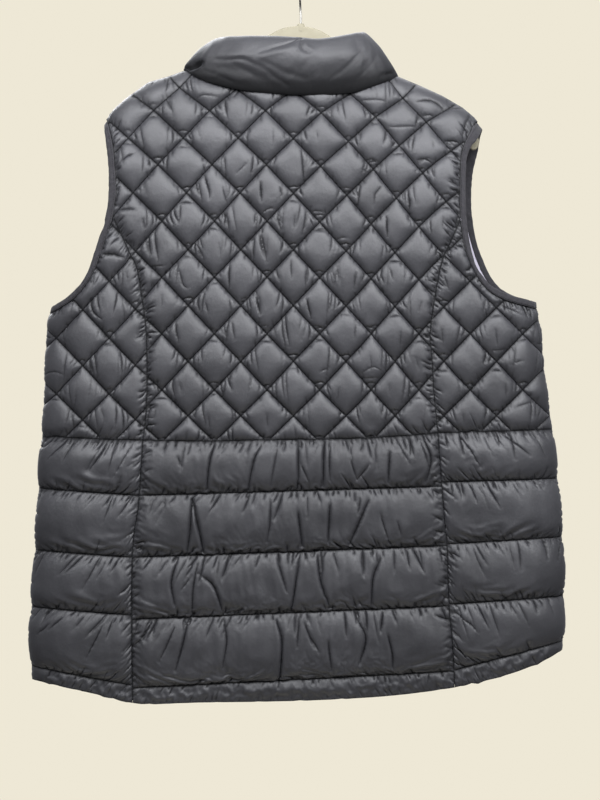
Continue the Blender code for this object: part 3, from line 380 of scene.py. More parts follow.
ARM_BACK_LEFT[0] = (-231, float(ridge_z(-231)))
ARM_FRONT_LEFT[0] = ARM_BACK_LEFT[0]
ARM_BACK_RIGHT[0] = (208, float(ridge_z(208)))
ARM_FRONT_RIGHT[0] = ARM_BACK_RIGHT[0]


def to_corner(run, start, end):
    run = run.copy()
    run[0], run[-1] = start, end
    return run


tip_l, tip_r = seam["shoulder_left"][-1], seam["shoulder_right"][-1]
pit_l, pit_r = seam["side_left_upper"][0], seam["side_right_upper"][0]
for key, path, tip, pit in (("arm_back_left", ARM_BACK_LEFT, tip_l, pit_l),
                            ("arm_back_right", ARM_BACK_RIGHT, tip_r, pit_r),
                            ("arm_front_left", ARM_FRONT_LEFT, tip_l, pit_l),
                            ("arm_front_right", ARM_FRONT_RIGHT, tip_r, pit_r)):
    seam[key] = to_corner(st_path(path), tip, pit)


def split_at(run, corner):
    i = int(np.argmin(np.linalg.norm(run - corner, axis=1)))
    i = min(max(i, 1), len(run) - 2)
    run[i] = corner
    return run[:i + 1], run[i:]


arm_l_top, arm_l_low = split_at(seam["arm_back_left"],
                                seam["princess_left_upper"][0])
arm_r_top, arm_r_low = split_at(seam["arm_back_right"],
                                seam["princess_right_upper"][0])
seam["waist_left"] = to_corner(seam["waist_left"], seam["side_left_upper"][-1],
                               seam["princess_left_upper"][-1])
seam["waist_right"] = to_corner(seam["waist_right"],
                                seam["princess_right_upper"][-1],
                                seam["side_right_upper"][-1])
seam["waist_middle"] = to_corner(seam["waist_middle"],
                                 seam["princess_left_upper"][-1],
                                 seam["princess_right_upper"][-1])
for key in ("princess_left_lower", "princess_right_lower"):
    seam[key][0] = seam[key.replace("lower", "upper")][-1]
seam["hem_left"] = to_corner(seam["hem_left"], seam["side_left_lower"][-1],
                             seam["princess_left_lower"][-1])
seam["hem_middle"] = to_corner(seam["hem_middle"],
                               seam["princess_left_lower"][-1],
                               seam["princess_right_lower"][-1])
seam["hem_right"] = to_corner(seam["hem_right"],
                              seam["princess_right_lower"][-1],
                              seam["side_right_lower"][-1])
seam["neck"] = to_corner(seam["neck"], seam["shoulder_left"][0],
                         seam["shoulder_right"][0])
seam["neck_front_left"][0] = seam["shoulder_left"][0]
seam["neck_front_right"][0] = seam["shoulder_right"][0]
rev = lambda k: seam[k][::-1]
pl = table([(b, a) for a, b in PRINCESS_LEFT], 0, 1)
pr = table([(b, a) for a, b in PRINCESS_RIGHT], 0, 1)


# ------------------------------------------------------------ the cloth mesh
def hashed(*keys):
    """A steady pseudo-random number 0..1 for the given whole numbers."""
    h = 2166136261
    for k in keys:
        h = ((h ^ (int(k) & 0xffff)) * 16777619) & 0xffffffff
        h ^= h >> 13
    h = (h * 2654435761) & 0xffffffff
    return ((h >> 8) & 0xffff) / 65535.0


def triangulate(loop, pts, edges):
    n = len(loop)
    allp = np.vstack([loop, pts]) if len(pts) else loop
    cons = [(i, (i + 1) % n) for i in range(n)]
    cons += [(int(a) + n, int(b) + n) for a, b in edges]
    vs, _, fs, _, _, _ = delaunay_2d_cdt([Vector(p) for p in allp], cons, [],
                                         1, 1e-5, False)
    if len(vs) != len(allp):
        raise RuntimeError("stitch lines cross a seam")
    wall = {frozenset(c) for c in cons[:n]}
    share = {}
    for k, f in enumerate(fs):
        for i in range(3):
            a, b = f[i], f[(i + 1) % 3]
            share.setdefault((a, b) if a < b else (b, a), []).append(k)
    gone = set()
    front = [k for e, ks in share.items()
             if len(ks) == 1 and frozenset(e) not in wall for k in ks]
    while front:
        k = front.pop()
        if k in gone:
            continue
        gone.add(k)
        f = fs[k]
        for i in range(3):
            a, b = f[i], f[(i + 1) % 3]
            if frozenset((a, b)) not in wall:
                front += [j for j in share[(a, b) if a < b else (b, a)]
                          if j not in gone]
    return np.array([f for k, f in enumerate(fs) if k not in gone], int)


def near_tree(pts):
    tree = KDTree(len(pts))
    for i, p in enumerate(pts):
        tree.insert((p[0], p[1], 0.0), i)
    tree.balance()
    return tree


def hex_points(loop, h, seed):
    lo, hi = loop.min(0), loop.max(0)
    rows = np.arange(lo[1], hi[1], h * 0.866)
    cols = np.arange(lo[0], hi[0] + h, h)
    g = np.stack(np.meshgrid(cols, rows), -1)
    g[1::2, :, 0] += h / 2
    g = g.reshape(-1, 2)
    g += np.random.default_rng(seed).uniform(-0.16 * h, 0.16 * h, g.shape)
    return g[inside(loop, g)]


def quilt_lines(loop, h):
    """Points every h along the diamonds' stitch lines, and their edges."""
    lines = []
    r0, r1 = QUILT_R[0], QUILT_R[-1]
    r = np.arange(r0, r1 + 1e-6, 0.5)
    for way in (1, -1):
        for k in range(-26, 28):
            c = 2 * k - way * r if way > 0 else 2 * k + r
            ok = np.abs(c) < 12
            if ok.sum() > 3:
                lines.append(quilt_point(c[ok], r[ok]))
    pts, edges, index = [], [], {}
    for line in lines:
        # whole rows are crossings, shared by the two sets of lines
        last = None
        for a, b in zip(line[:-1], line[1:]):
            n = max(1, int(round(np.linalg.norm(b - a) / h)))
            for j in range(n):
                p = a + (b - a) * j / n
                key = (round(p[0] * 20), round(p[1] * 20)) if j == 0 else None
                if key is not None and key in index:
                    i = index[key]
                else:
                    i = len(pts)
                    pts.append(p)
                    if key is not None:
                        index[key] = i
                if last is not None and last != i:
                    edges.append((last, i))
                last = i
    pts = np.array(pts)
    s, t = to_st(pts[:, 0], pts[:, 1])
    st = np.stack([s, t], 1)
    return keep_inside(loop, st, edges, 0.55 * h)


def keep_inside(loop, st, edges, margin):
    ok = inside(loop, st)
    idx = np.nonzero(ok)[0]
    near = line_distance(loop, np.roll(loop, -1, 0), st[idx]) < margin
    ok[idx[near]] = False
    where = -np.ones(len(st), int)
    where[ok] = np.arange(ok.sum())
    edges = np.array(edges).reshape(-1, 2)
    e = where[edges]
    return st[ok], e[(e >= 0).all(1)]


def channel_lines(loop, lines, x_left, x_right, h):
    pts, edges = [], []
    for line in lines[1:-1]:
        zm = float(line(0.5))
        n = int((x_right(zm) - x_left(zm)) / h)
        u = np.linspace(-0.02, 1.02, n + 1)
        z = line(np.clip(u, 0, 1))
        x = x_left(z) + u * (x_right(z) - x_left(z))
        s, t = to_st(x, z)
        k = len(pts)
        pts += list(np.stack([s, t], 1))
        edges += [(k + j, k + j + 1) for j in range(n)]
    return keep_inside(loop, np.array(pts), edges, 0.55 * h)


def seed_creases(loop, fixed, rows, h):
    """Free mesh points laid along the creases, so that each can be sharp.
    Gives the points and how strong the crease is at each."""
    pts, depth = [], []
    for width, strength, line in rows:
        line = np.asarray(line, float)
        run = (smooth_path(line, 0.85 * h) if len(line) > 2
               else even(line, 0.85 * h))
        n = len(run) - 1
        f = np.arange(n + 1) / max(n, 1)
        pts.append(run)
        depth.append(strength * np.clip(np.minimum(f + 0.3, 1.2 - f) * 1.7, 0, 1))
    if not pts:
        return np.zeros((0, 2)), np.zeros(0)
    pts, depth = np.vstack(pts), np.concatenate(depth)
    order = np.argsort(-depth, kind="stable")
    pts, depth = pts[order], depth[order]
    ok = inside(loop, pts)
    pts, depth = pts[ok], depth[ok]
    cell = 0.6 * h
    grid = {}
    for a, b in fixed.tolist():
        grid.setdefault((int(a // cell), int(b // cell)), []).append((a, b))
    keep = []
    for k, (a, b) in enumerate(pts.tolist()):
        i, j = int(a // cell), int(b // cell)
        near = False
        for di in (-1, 0, 1):
            for dj in (-1, 0, 1):
                for c, d in grid.get((i + di, j + dj), ()):
                    if (a - c) ** 2 + (b - d) ** 2 < cell * cell:
                        near = True
        if not near:
            grid.setdefault((i, j), []).append((a, b))
            keep.append(k)
    return pts[keep], depth[keep]


def make_sheet(loop, lines, edges, h, seed, rows=()):
    """A fine triangle mesh of the panel: loop, stitch points, crease points,
    then the rest."""
    fixed = np.vstack([loop, lines]) if len(lines) else loop
    folds, depth = seed_creases(loop, fixed, rows, h)
    tree = near_tree(np.vstack([fixed, folds]))
    g = hex_points(loop, h, seed)
    far = np.array([tree.find((p[0], p[1], 0.0))[2] for p in g])
    g = g[far > 0.62 * h]
    pts = np.vstack([lines, folds, g])
    tris = triangulate(loop, pts, edges)
    sharp = np.concatenate([np.zeros(len(fixed)), depth, np.zeros(len(g))])
    return np.vstack([loop, pts]), tris, len(fixed), sharp


# -------------------------------------------------------------- cloth solver
def mesh_edges(tris):
    e = np.sort(np.concatenate([tris[:, [0, 1]], tris[:, [1, 2]],
                                tris[:, [2, 0]]]), 1)
    opp = np.concatenate([tris[:, 2], tris[:, 0], tris[:, 1]])
    key = e[:, 0].astype(np.int64) * 10000000 + e[:, 1]
    order = np.argsort(key, kind="stable")
    key, opp, e = key[order], opp[order], e[order]
    first = np.concatenate(([True], key[1:] != key[:-1]))
    edges = e[first]
    at = np.nonzero(~first)[0]
    bend = np.sort(np.stack([opp[at - 1], opp[at]], 1), 1)
    return edges, bend


def colours(n, edges):
    """Groups of edges that share no point, for the solver's sweeps."""
    used = [0] * n
    col = np.empty(len(edges), np.int32)
    for k, (a, b) in enumerate(edges.tolist()):
        m = used[a] | used[b]
        free = ~m & (m + 1)
        used[a] |= free
        used[b] |= free
        col[k] = free.bit_length() - 1
    return col


def settle(x, nrm, tris, pinned, ease, push, low, bend_stiff, steps,
           sweeps=2, damp=0.93, pull=None, squeeze=0.75, gravity=0.0):
    """Blow up and settle a cloth pinned along its seams and stitch lines.

    x starts on the lining, ease (n, 2) is the cloth's extra length across and
    down, push the filling's push by height, low the least height over the
    lining, and pull an inward force that lays the creases.
    """
    n = len(x)
    base = x.copy()
    edges, bend = mesh_edges(tris)
    pairs = np.vstack([edges, bend])
    d = base[pairs[:, 1]] - base[pairs[:, 0]]
    across = np.cross(nrm, np.array([0.0, 0, 1.0]))
    across /= np.maximum(np.linalg.norm(across, axis=1, keepdims=True), 1e-6)
    u = across[pairs[:, 0]] + across[pairs[:, 1]]
    u /= np.maximum(np.linalg.norm(u, axis=1, keepdims=True), 1e-6)
    dh = np.sum(d * u, 1)
    dv = np.sqrt(np.maximum(np.sum(d * d, 1) - dh * dh, 0))
    ea = (ease[pairs[:, 0]] + ease[pairs[:, 1]]) / 2
    rest = np.hypot(dh * (1 + ea[:, 0]), dv * (1 + ea[:, 1]))
    w = np.where(pinned, 0.0, 1.0)
    ws = w[pairs[:, 0]] + w[pairs[:, 1]]
    live = ws > 0
    isb = np.arange(len(pairs)) >= len(edges)
    col = np.concatenate([colours(n, edges), 100 + colours(n, bend)])
    batches = []
    for c in np.unique(col):
        m = (col == c) & live
        if not m.any():
            continue
        i, j = pairs[m, 0], pairs[m, 1]
        bent = c >= 100
        batches.append((i, j, rest[m].astype(np.float32),
                        (w[i] / ws[m]).astype(np.float32)[:, None],
                        (w[j] / ws[m]).astype(np.float32)[:, None],
                        np.float32(bend_stiff if bent else 1.0),
                        np.float32(bend_stiff if bent else squeeze)))
    x = (base + nrm * low[:, None]).astype(np.float32)
    # start slightly raised, so that the push has a side to push to
    nrm = nrm.astype(np.float32)
    base = base.astype(np.float32)
    w32 = w.astype(np.float32)[:, None]
    low32 = low.astype(np.float32)
    prev = x.copy()
    t0, t1, t2 = tris[:, 0], tris[:, 1], tris[:, 2]
    flat = np.concatenate([t0, t1, t2])
    area0 = None
    force = np.zeros_like(x)
    for it in range(steps):
        if it % 4 == 0:
            a = np.cross(x[t1] - x[t0], x[t2] - x[t0])
            rep = np.concatenate([a, a, a])
            vn = np.stack([np.bincount(flat, rep[:, k], n) for k in range(3)], 1)
            if area0 is None:
                area0 = np.mean(np.linalg.norm(vn, axis=1))
            height = np.sum((x - base) * nrm, 1)
            p = push(height)
            force = (vn / area0) * p[:, None]
            if pull is not None:
                force -= nrm * pull[:, None]
            force[:, 2] -= gravity
            force = (force * w32).astype(np.float32)
        ramp = np.float32(min(1.0, it / (0.15 * steps)))
        v = (x - prev) * np.float32(damp)
        prev = x.copy()
        x = x + v * w32 + force * ramp
        for _ in range(sweeps):
            for i, j, r, wi, wj, kt, kc in batches:
                xi, xj = x[i], x[j]
                dd = xj - xi
                ln = np.sqrt(np.einsum("ij,ij->i", dd, dd)) + np.float32(1e-6)
                c = (ln - r) / ln
                c = np.where(c > 0, c * kt, c * kc)[:, None]
                dd *= c
                x[i] = xi + dd * wi
                x[j] = xj - dd * wj
        height = np.einsum("ij,ij->i", x - base, nrm)
        short = np.maximum(low32 - height, 0) * w32[:, 0]
        x += nrm * short[:, None]
    return x.astype(float)


def smooth_once(x, tris, pinned, amount):
    n = len(x)
    e, _ = mesh_edges(tris)
    deg = np.bincount(e.ravel(), minlength=n)
    s = np.stack([np.bincount(e[:, 0], x[e[:, 1], k], n)
                  + np.bincount(e[:, 1], x[e[:, 0], k], n)
                  for k in range(3)], 1) / np.maximum(deg, 1)[:, None]
    k = np.where(pinned, 0.0, amount)[:, None]
    return x + (s - x) * k


# ------------------------------------------------ creases placed one by one, mm
DIAMOND_CREASES = [  # width, strength, points (x, z)
    (3, 1.5, [(-114, -255), (-109, -272), (-108, -281)]),
    (2.5, 0.9, [(-93, -269), (-88, -288)]),
    (3, 1.5, [(-47, -263), (-46, -284)]),
    (2.5, 0.9, [(-25, -268), (-22, -279)]),
    (2.5, 0.9, [(-90, -233), (-88, -251)]),
    (2.5, 0.6, [(-76, -251), (-63, -238)]),
    (2.5, 0.9, [(-143, -291), (-144, -308)]),
    (2.5, 1, [(-87, -302), (-84, -321)]),
    (2.5, 0.8, [(-54, -302), (-55, -312)]),
    (2.5, 1, [(-27, -302), (-22, -320)]),
    (2.5, 0.8, [(11, -305), (16, -317)]),
    (2.5, 1, [(-124, -335), (-118, -346), (-114, -355)]),
    (3, 1.1, [(-46, -327), (-42, -345), (-40, -357)]),
    (2.5, 1, [(-144, -369), (-139, -385), (-133, -388)]),
    (2.5, 0.8, [(-115, -368), (-118, -382)]),
    (3, 1.6, [(-84, -363), (-84, -388)]),
    (2.5, 0.9, [(-11, -357), (-10, -377)]),
    (2.5, 0.9, [(7, -368), (6, -388)]),
    (2.5, 0.8, [(-113, -406), (-109, -420)]),
    (2.5, 0.8, [(-85, -403), (-83, -418)]),
    (3, 1.5, [(-52, -401), (-47, -420)]),
    (3, 1.5, [(9, -403), (14, -425)]),
    (2.5, 0.9, [(-81, -431), (-78, -450)]),
    (2, 0.8, [(-46, -299), (-38, -293), (-29, -293)]),
    (2, 0.8, [(-125, -163), (-115, -158), (-97, -160)]),
    (2, 0.8, [(75, -238), (87, -234), (97, -239)]),
    (2, 0.7, [(12, -298), (20, -296), (30, -298)]),
    (2, 0.7, [(18, -320), (34, -318)]),
    (2, 0.7, [(45, -330), (58, -327)]),
    (2, 0.7, [(108, -342), (123, -340)]),
    (2, 0.7, [(137, -309), (152, -305)]),
    (2, 0.8, [(142, -239), (150, -233), (159, -234)]),
    (2, 0.7, [(-71, -400), (-63, -401)]),
    (2, 0.7, [(108, -406), (118, -405)]),
    (2, 0.7, [(77, -435), (94, -433)]),
    (2, 0.6, [(16, -433), (28, -434)]),
    (2, 0.6, [(-46, -434), (-36, -432)]),
    (2, 0.8, [(75, -489), (88, -483), (100, -490)]),
    (2, 0.7, [(77, -496), (96, -495)]),
    (2, 0.7, [(24, -488), (36, -483)]),
    (2, 0.7, [(-180, -363), (-162, -361)]),
    (2, 0.7, [(-304, -492), (-291, -489), (-277, -494)]),
    (2, 0.6, [(-263, -545), (-249, -545)]),
    (2, 0.7, [(229, -463), (249, -460)]),
    (2, 0.7, [(253, -480), (265, -475)]),
    (2, 0.7, [(255, -533), (277, -525)]),
    (2.5, 0.8, [(73, -164), (91, -163), (106, -167)]),
    (3, 1.4, [(139, -168), (156, -170), (176, -180)]),
    (2.5, 0.9, [(147, -181), (165, -185)]),
    (2.5, 0.7, [(106, -195), (147, -195)]),
    (3, 1.4, [(172, -213), (187, -214), (196, -221)]),
    (3, 1.3, [(141, -235), (150, -234), (159, -240)]),
    (2.5, 0.9, [(97, -268), (90, -277), (88, -290)]),
    (3, 1.4, [(130, -277), (132, -286), (131, -297)]),
    (3, 1.5, [(104, -305), (105, -327)]),
    (2.5, 0.9, [(156, -308), (158, -325)]),
    (3, 1.5, [(189, -303), (182, -336)]),
    (2.5, 0.9, [(173, -374), (178, -391)]),
    (2.5, 0.8, [(45, -364), (47, -382)]),
    (2.5, 0.9, [(66, -371), (64, -389)]),
    (2.5, 0.8, [(108, -367), (111, -379)]),
    (3, 1, [(237, -407), (253, -415), (264, -421)]),
    (3, 1.6, [(-214, -192), (-224, -204)]),
    (3, 1.1, [(-214, -238), (-198, -228)]),
    (2.5, 0.9, [(-217, -296), (-196, -297)]),
    (2.5, 0.8, [(-189, -306), (-186, -320)]),
    (3, 1.5, [(-235, -349), (-211, -352)]),
    (3, 1.5, [(-251, -402), (-245, -419), (-236, -426)]),
]
CHANNEL_CREASES = [  # width, strength, points (x, z)
    (4, 1.6, [(-101, -572), (-108, -598), (-112, -628)]),
    (4, 1.5, [(-46, -577), (-55, -595), (-63, -628)]),
    (3, 1, [(-28, -582), (-35, -623)]),
    (4, 1.5, [(-2, -572), (-2, -620)]),
    (3, 0.9, [(1, -598), (11, -620)]),
    (4, 2, [(29, -572), (28, -623)]),
    (3, 1.2, [(36, -579), (37, -617)]),
    (3, 1, [(61, -593), (69, -616)]),
    (3, 1, [(69, -616), (84, -598)]),
    (3, 0.9, [(76, -572), (72, -585)]),
    (4, 1.5, [(107, -585), (106, -620)]),
    (4, 1.5, [(146, -567), (155, -593), (150, -620)]),
    (3, 0.9, [(-146, -590), (-141, -602)]),
    (4, 1.1, [(190, -565), (217, -601)]),
    (4, 1.1, [(241, -563), (271, -589)]),
    (4, 1, [(144, -571), (154, -607)]),
    (4, 1.1, [(-277, -571), (-295, -595)]),
    (4, 0.9, [(-219, -573), (-229, -607)]),
    (5, 2, [(-128, -641), (-132, -673), (-137, -703)]),
    (5, 2, [(-128, -641), (-121, -673), (-116, -703)]),
    (3, 1.1, [(-35, -643), (-36, -669), (-40, -689)]),
    (4, 1.5, [(-2, -658), (2, -694)]),
    (4, 1.5, [(36, -648), (34, -689)]),
    (3, 0.9, [(72, -641), (70, -658)]),
    (4, 1.5, [(82, -643), (72, -666), (59, -696)]),
    (3, 1, [(97, -658), (107, -689)]),
    (3, 0.9, [(117, -666), (121, -681)]),
    (4, 1.5, [(-146, -712), (-153, -739), (-150, -765)]),
    (3, 1.2, [(-122, -719), (-128, -750), (-130, -780)]),
    (3, 0.8, [(-141, -747), (-129, -732)]),
    (4, 1.3, [(-121, -729), (-103, -744), (-93, -775)]),
    (3, 1.1, [(-27, -714), (-17, -750)]),
    (4, 1.5, [(-2, -721), (-6, -744), (-10, -770)]),
    (4, 1.5, [(21, -709), (26, -739), (35, -765)]),
    (3, 1, [(74, -706), (76, -729)]),
    (4, 1.5, [(96, -712), (88, -734), (87, -765)]),
    (3, 1, [(127, -702), (131, -724)]),
    (3, 1.1, [(-295, -791), (-307, -803)]),
    (3, 1.1, [(-282, -784), (-295, -798)]),
    (3, 1.1, [(-224, -786), (-231, -805)]),
    (3, 1.2, [(-236, -794), (-254, -828)]),
    (3, 1.1, [(-178, -789), (-194, -816)]),
    (3, 1.1, [(-150, -794), (-167, -833)]),
    (4, 1.5, [(-134, -786), (-139, -809), (-148, -842)]),
    (3, 1.1, [(-91, -786), (-88, -809), (-93, -839)]),
    (4, 1.5, [(-28, -786), (-22, -809), (-24, -844), (-26, -867)]),
    (3, 1, [(-1, -784), (-3, -816)]),
    (3, 1, [(6, -789), (17, -816)]),
    (3, 1, [(9, -798), (23, -821)]),
    (3, 1.1, [(34, -809), (38, -842)]),
    (4, 1.5, [(69, -786), (79, -805), (73, -833)]),
    (4, 1.4, [(99, -777), (97, -798)]),
    (4, 1.4, [(106, -803), (111, -823), (112, -839)]),
    (3, 1.1, [(184, -775), (198, -786)]),
    (3, 1.1, [(195, -784), (214, -798)]),
    (4, 1.4, [(186, -809), (203, -833)]),
]

FRONT_WAIST, FRONT_HEM, ZTOP = -570.0, -884.0, -212.0


def cell_creases(seed, x0, x1, share):
    """Short steep creases in the diamonds' left and right corners, small
    curved ones in the lower corners, and now and then one in the middle."""
    out = []
    for r in range(int(QUILT_R[0]) + 1, int(QUILT_R[-1])):
        for c in range(-11, 13):
            if (c + r) % 2 == 0:
                continue
            mid = quilt_point(c, r)
            if not x0 < mid[0] < x1:
                continue
            key = (c + 40, r + 9, seed)
            for way in (-1, 1):
                n = int(share * (1 + 3.9 * hashed(*key, 11, way + 3)))
                for k in range(n):
                    q = [hashed(*key, way + 5, k, j) for j in range(6)]
                    u = 0.86 - 0.155 * k - 0.13 * q[0]
                    room = 1 - abs(u)
                    v0 = -room * (0.96 - 0.35 * q[1] ** 2)
                    v1 = v0 + (room - v0) * (0.45 + 0.55 * q[2])
                    lean = (0.02 + 0.13 * q[3]) * (1 if q[4] > 0.25 else -1)
                    pts = [quilt_point(c + way * (u - lean * f - 0.05 * f * f),
                                       r + v0 + (v1 - v0) * f)
                           for f in (0, 0.5, 1)]
                    out.append((1.4, 0.35 + 0.85 * q[5] ** 1.5, pts))
            for e in range(4):      # short ones off each stitch line
                w, d = (-1, 1)[e % 2], (-1, 1)[e // 2]
                for k in range(int(share * (0.6 + 3.6 * hashed(*key, 31, e)))):
                    q = [hashed(*key, 32, e, k, j) for j in range(5)]
                    f = 0.24 + 0.7 * q[0]
                    ln = 0.07 + 0.20 * q[1] ** 1.7
                    lean = 0.10 * (q[2] - 0.5)
                    pts = [quilt_point(c + w * (1 - f) + lean * g,
                                       r + d * (f - 0.035 - ln * g))
                           for g in (0, 0.5, 1)]
                    out.append((1.1, 0.4 + 0.6 * q[3], pts))
            if share > 0.5 and hashed(*key, 77) > 0.35:
                q = hashed(*key, 78)
                v = 0.74 + 0.10 * hashed(*key, 79)
                w = (1 - v) * 0.75
                pts = [quilt_point(c + w * f + 0.03 * q,
                                   r + v - 0.05 * math.cos(f * 1.57))
                       for f in (-1, 0, 1)]
                out.append((1.3, 0.6 + 0.4 * q, pts))
            if share > 0.5 and hashed(*key, 81) > 0.6:
                q = [hashed(*key, 82, j) for j in range(4)]
                v = -0.62 - 0.2 * q[0]
                w = (1 + v) * 0.7
                pts = [quilt_point(c + w * f + 0.04 * (q[1] - 0.5),
                                   r + v + 0.05 * (q[2] - 0.5) * f)
                       for f in (-1, 0, 1)]
                out.append((1.3, 0.5 + 0.4 * q[3], pts))
            if hashed(*key, 91) > 1 - 0.45 * share:
                q = [hashed(*key, 92, j) for j in range(6)]
                u = -0.35 + 0.7 * q[0]
                v = -0.45 + 0.4 * q[1]
                pts = [quilt_point(c + u + (q[2] - 0.5) * 0.2 * f,
                                   r + v + (0.3 + 0.35 * q[3]) * f)
                       for f in (0, 0.5, 1)]
                out.append((1.5, 0.4 + 0.4 * q[4], pts))
    return out


def channel_creases(lines, x_left, x_right, seed, gap=46.0, share=1.0):
    """Long steep creases across the channels, unevenly spaced."""
    out = []
    for i, (a, b) in enumerate(zip(lines, lines[1:])):
        zm = float(a(0.5) + b(0.5)) / 2
        wide = float(x_right(zm) - x_left(zm))
        small = i == len(lines) - 2
        x, k = 6.0, 0
        while x < wide - 5:
            q = [hashed(seed, i, k, j) for j in range(7)]
            k += 1
            x += (0.3 if small else 1.0) * gap * (0.25 + 1.4 * q[0] ** 1.5)
            if q[6] > share or x > wide - 5:
                continue
            u = x / wide
            za, zb = float(a(u)), float(b(u))
            h = za - zb
            top = q[1] > 0.35
            v0 = 0.03 if top else 0.97
            v1 = v0 + (0.3 + 0.5 * q[2]) * (1 if top else -1)
            lean = (q[3] - 0.5) * (5 if small else 16)
            bow = (q[4] - 0.5) * 5
            xx = x_left(za - v0 * h) + x
            pts = [(xx, za - v0 * h),
                   (xx + lean * 0.5 + bow, za - (v0 + v1) / 2 * h),
                   (xx + lean, za - v1 * h)]
            out.append((1.6 if small else 3.2, 0.7 + 0.8 * q[5], pts))
    return out


def crease_pull(side, st, table_rows):
    """What the creases do to each point: their inward pull, and the slack
    across and down that they gather."""
    pull = np.zeros(len(st))
    slack = np.zeros((len(st), 2))
    order = np.argsort(st[:, 0], kind="stable")
    sx_sorted = st[order, 0]
    for width, strength, pts in table_rows:
        pts = np.array(pts, float)
        fine = smooth_path(pts, 2.0) if len(pts) > 2 else even(pts, 2.0)
        if side is None:
            line = fine
        else:
            s, t = to_st(fine[:, 0], fine[:, 1])
            line = np.stack([s, t], 1)
        lo, hi = line.min(0) - 3 * width, line.max(0) + 3 * width
        i0, i1 = np.searchsorted(sx_sorted, (lo[0], hi[0]))
        m = order[i0:i1]
        m = m[(st[m, 1] > lo[1]) & (st[m, 1] < hi[1])]
        if not len(m):
            continue
        d = np.linalg.norm(st[m][:, None] - line[None], axis=2)
        near = np.argmin(d, 1)
        d = d[np.arange(len(m)), near]
        along = near / max(len(line) - 1, 1)
        fade = np.clip(np.minimum(along + 0.35, 1.25 - along) * 1.6, 0, 1)
        pull[m] = np.maximum(pull[m], strength * fade * np.exp(
            -(d / (0.8 * width)) ** 2))
        way = np.abs(line[-1] - line[0]) / max(
            np.linalg.norm(line[-1] - line[0]), 1e-6)
        wide = strength * fade * np.exp(-(d / (1.9 * width)) ** 2)
        slack[m, 0] = np.maximum(slack[m, 0], wide * way[1] ** 2)
        slack[m, 1] = np.maximum(slack[m, 1], wide * way[0] ** 2)
    return pull, slack


def seam_puckers(run, seed, gap, length, reach=1.0, strength=0.9, width=1.5,
                 tilt=0.25, below=1.0, bias=0.0):
    """Short creases that run off a line of (s, t) points on both sides."""
    out = []
    run = even(run, 1.0)
    tang = np.gradient(run, axis=0)
    tang /= np.maximum(np.linalg.norm(tang, axis=1, keepdims=True), 1e-9)
    nrm = np.stack([-tang[:, 1], tang[:, 0]], 1)
    for way in (-1, 1):
        at, k = 3.0, 0
        while at < len(run) - 3:
            q = [hashed(seed, k, way + 2, j) for j in range(5)]
            k += 1
            at += gap * (0.25 + 1.5 * q[0] ** 1.6)
            if at >= len(run) - 3:
                break
            i = int(at)
            d = way * nrm[i] + tang[i] * (tilt * (2 * q[1] - 1)
                                          + bias * (way > 0))
            ln = length * (0.35 + 1.3 * q[2] ** 2.6) * (
                below if way > 0 else 1)
            p0 = run[i] + d * reach
            p1 = run[i] + d * ln
            mid = (p0 + p1) / 2 + tang[i] * (q[3] - 0.5) * 1.6
            out.append((width * (0.8 + 0.5 * q[4]),
                        strength * (0.35 + 0.95 * q[3] ** 1.4), [p0, mid, p1]))
    return out


def mesh_noise(edges, n, seed, rounds):
    """Smooth uneven numbers over the mesh, about -2..2."""
    v = np.random.default_rng(seed).standard_normal(n)
    deg = np.maximum(np.bincount(edges.ravel(), minlength=n), 1)
    for _ in range(rounds):
        v = 0.4 * v + 0.6 * (np.bincount(edges[:, 0], v[edges[:, 1]], n)
                             + np.bincount(edges[:, 1], v[edges[:, 0]], n)) / deg
    return v / v.std()


# ------------------------------------------------------------- the 10 panels
def lines_for(cols, waist, hem):
    lines = [waist]
    for row in CHANNELS:
        a, b = row[cols[0]], row[cols[1]]
        lines.append(lambda u, a=a, b=b: a + (b - a) * np.asarray(u, float))
    lines.append(hem)
    return lines


def zip_edge(sign, z0, z1):
    z = np.linspace(z0, z1, max(2, int(abs(z1 - z0) / 4.0) + 1))
    s, t = to_st(zip_x(z) + sign * ZIP_HALF_GAP, z)
    return np.stack([s, t], 1)


BACK_H = 1.7
FRONT_H = 2.8
PANELS = []


def add_panel(name, side, seams, kind, h, lines=None, x_left=None, x_right=None,
              creases=(), seed=1, rests=()):
    PANELS.append(dict(name=name, side=side, seams=seams, kind=kind, h=h,
                       lines=lines, xl=x_left, xr=x_right, creases=creases,
                       seed=seed, rests=rests))


def lower_lines(cols, xl, xr):
    waist = lambda u: waist_z(xl(-566) + (xr(-566) - xl(-566))
                              * np.asarray(u, float))
    hem = lambda u: hem_z(xl(-860) + (xr(-860) - xl(-860)) * np.asarray(u, float))
    return lines_for(cols, waist, hem)


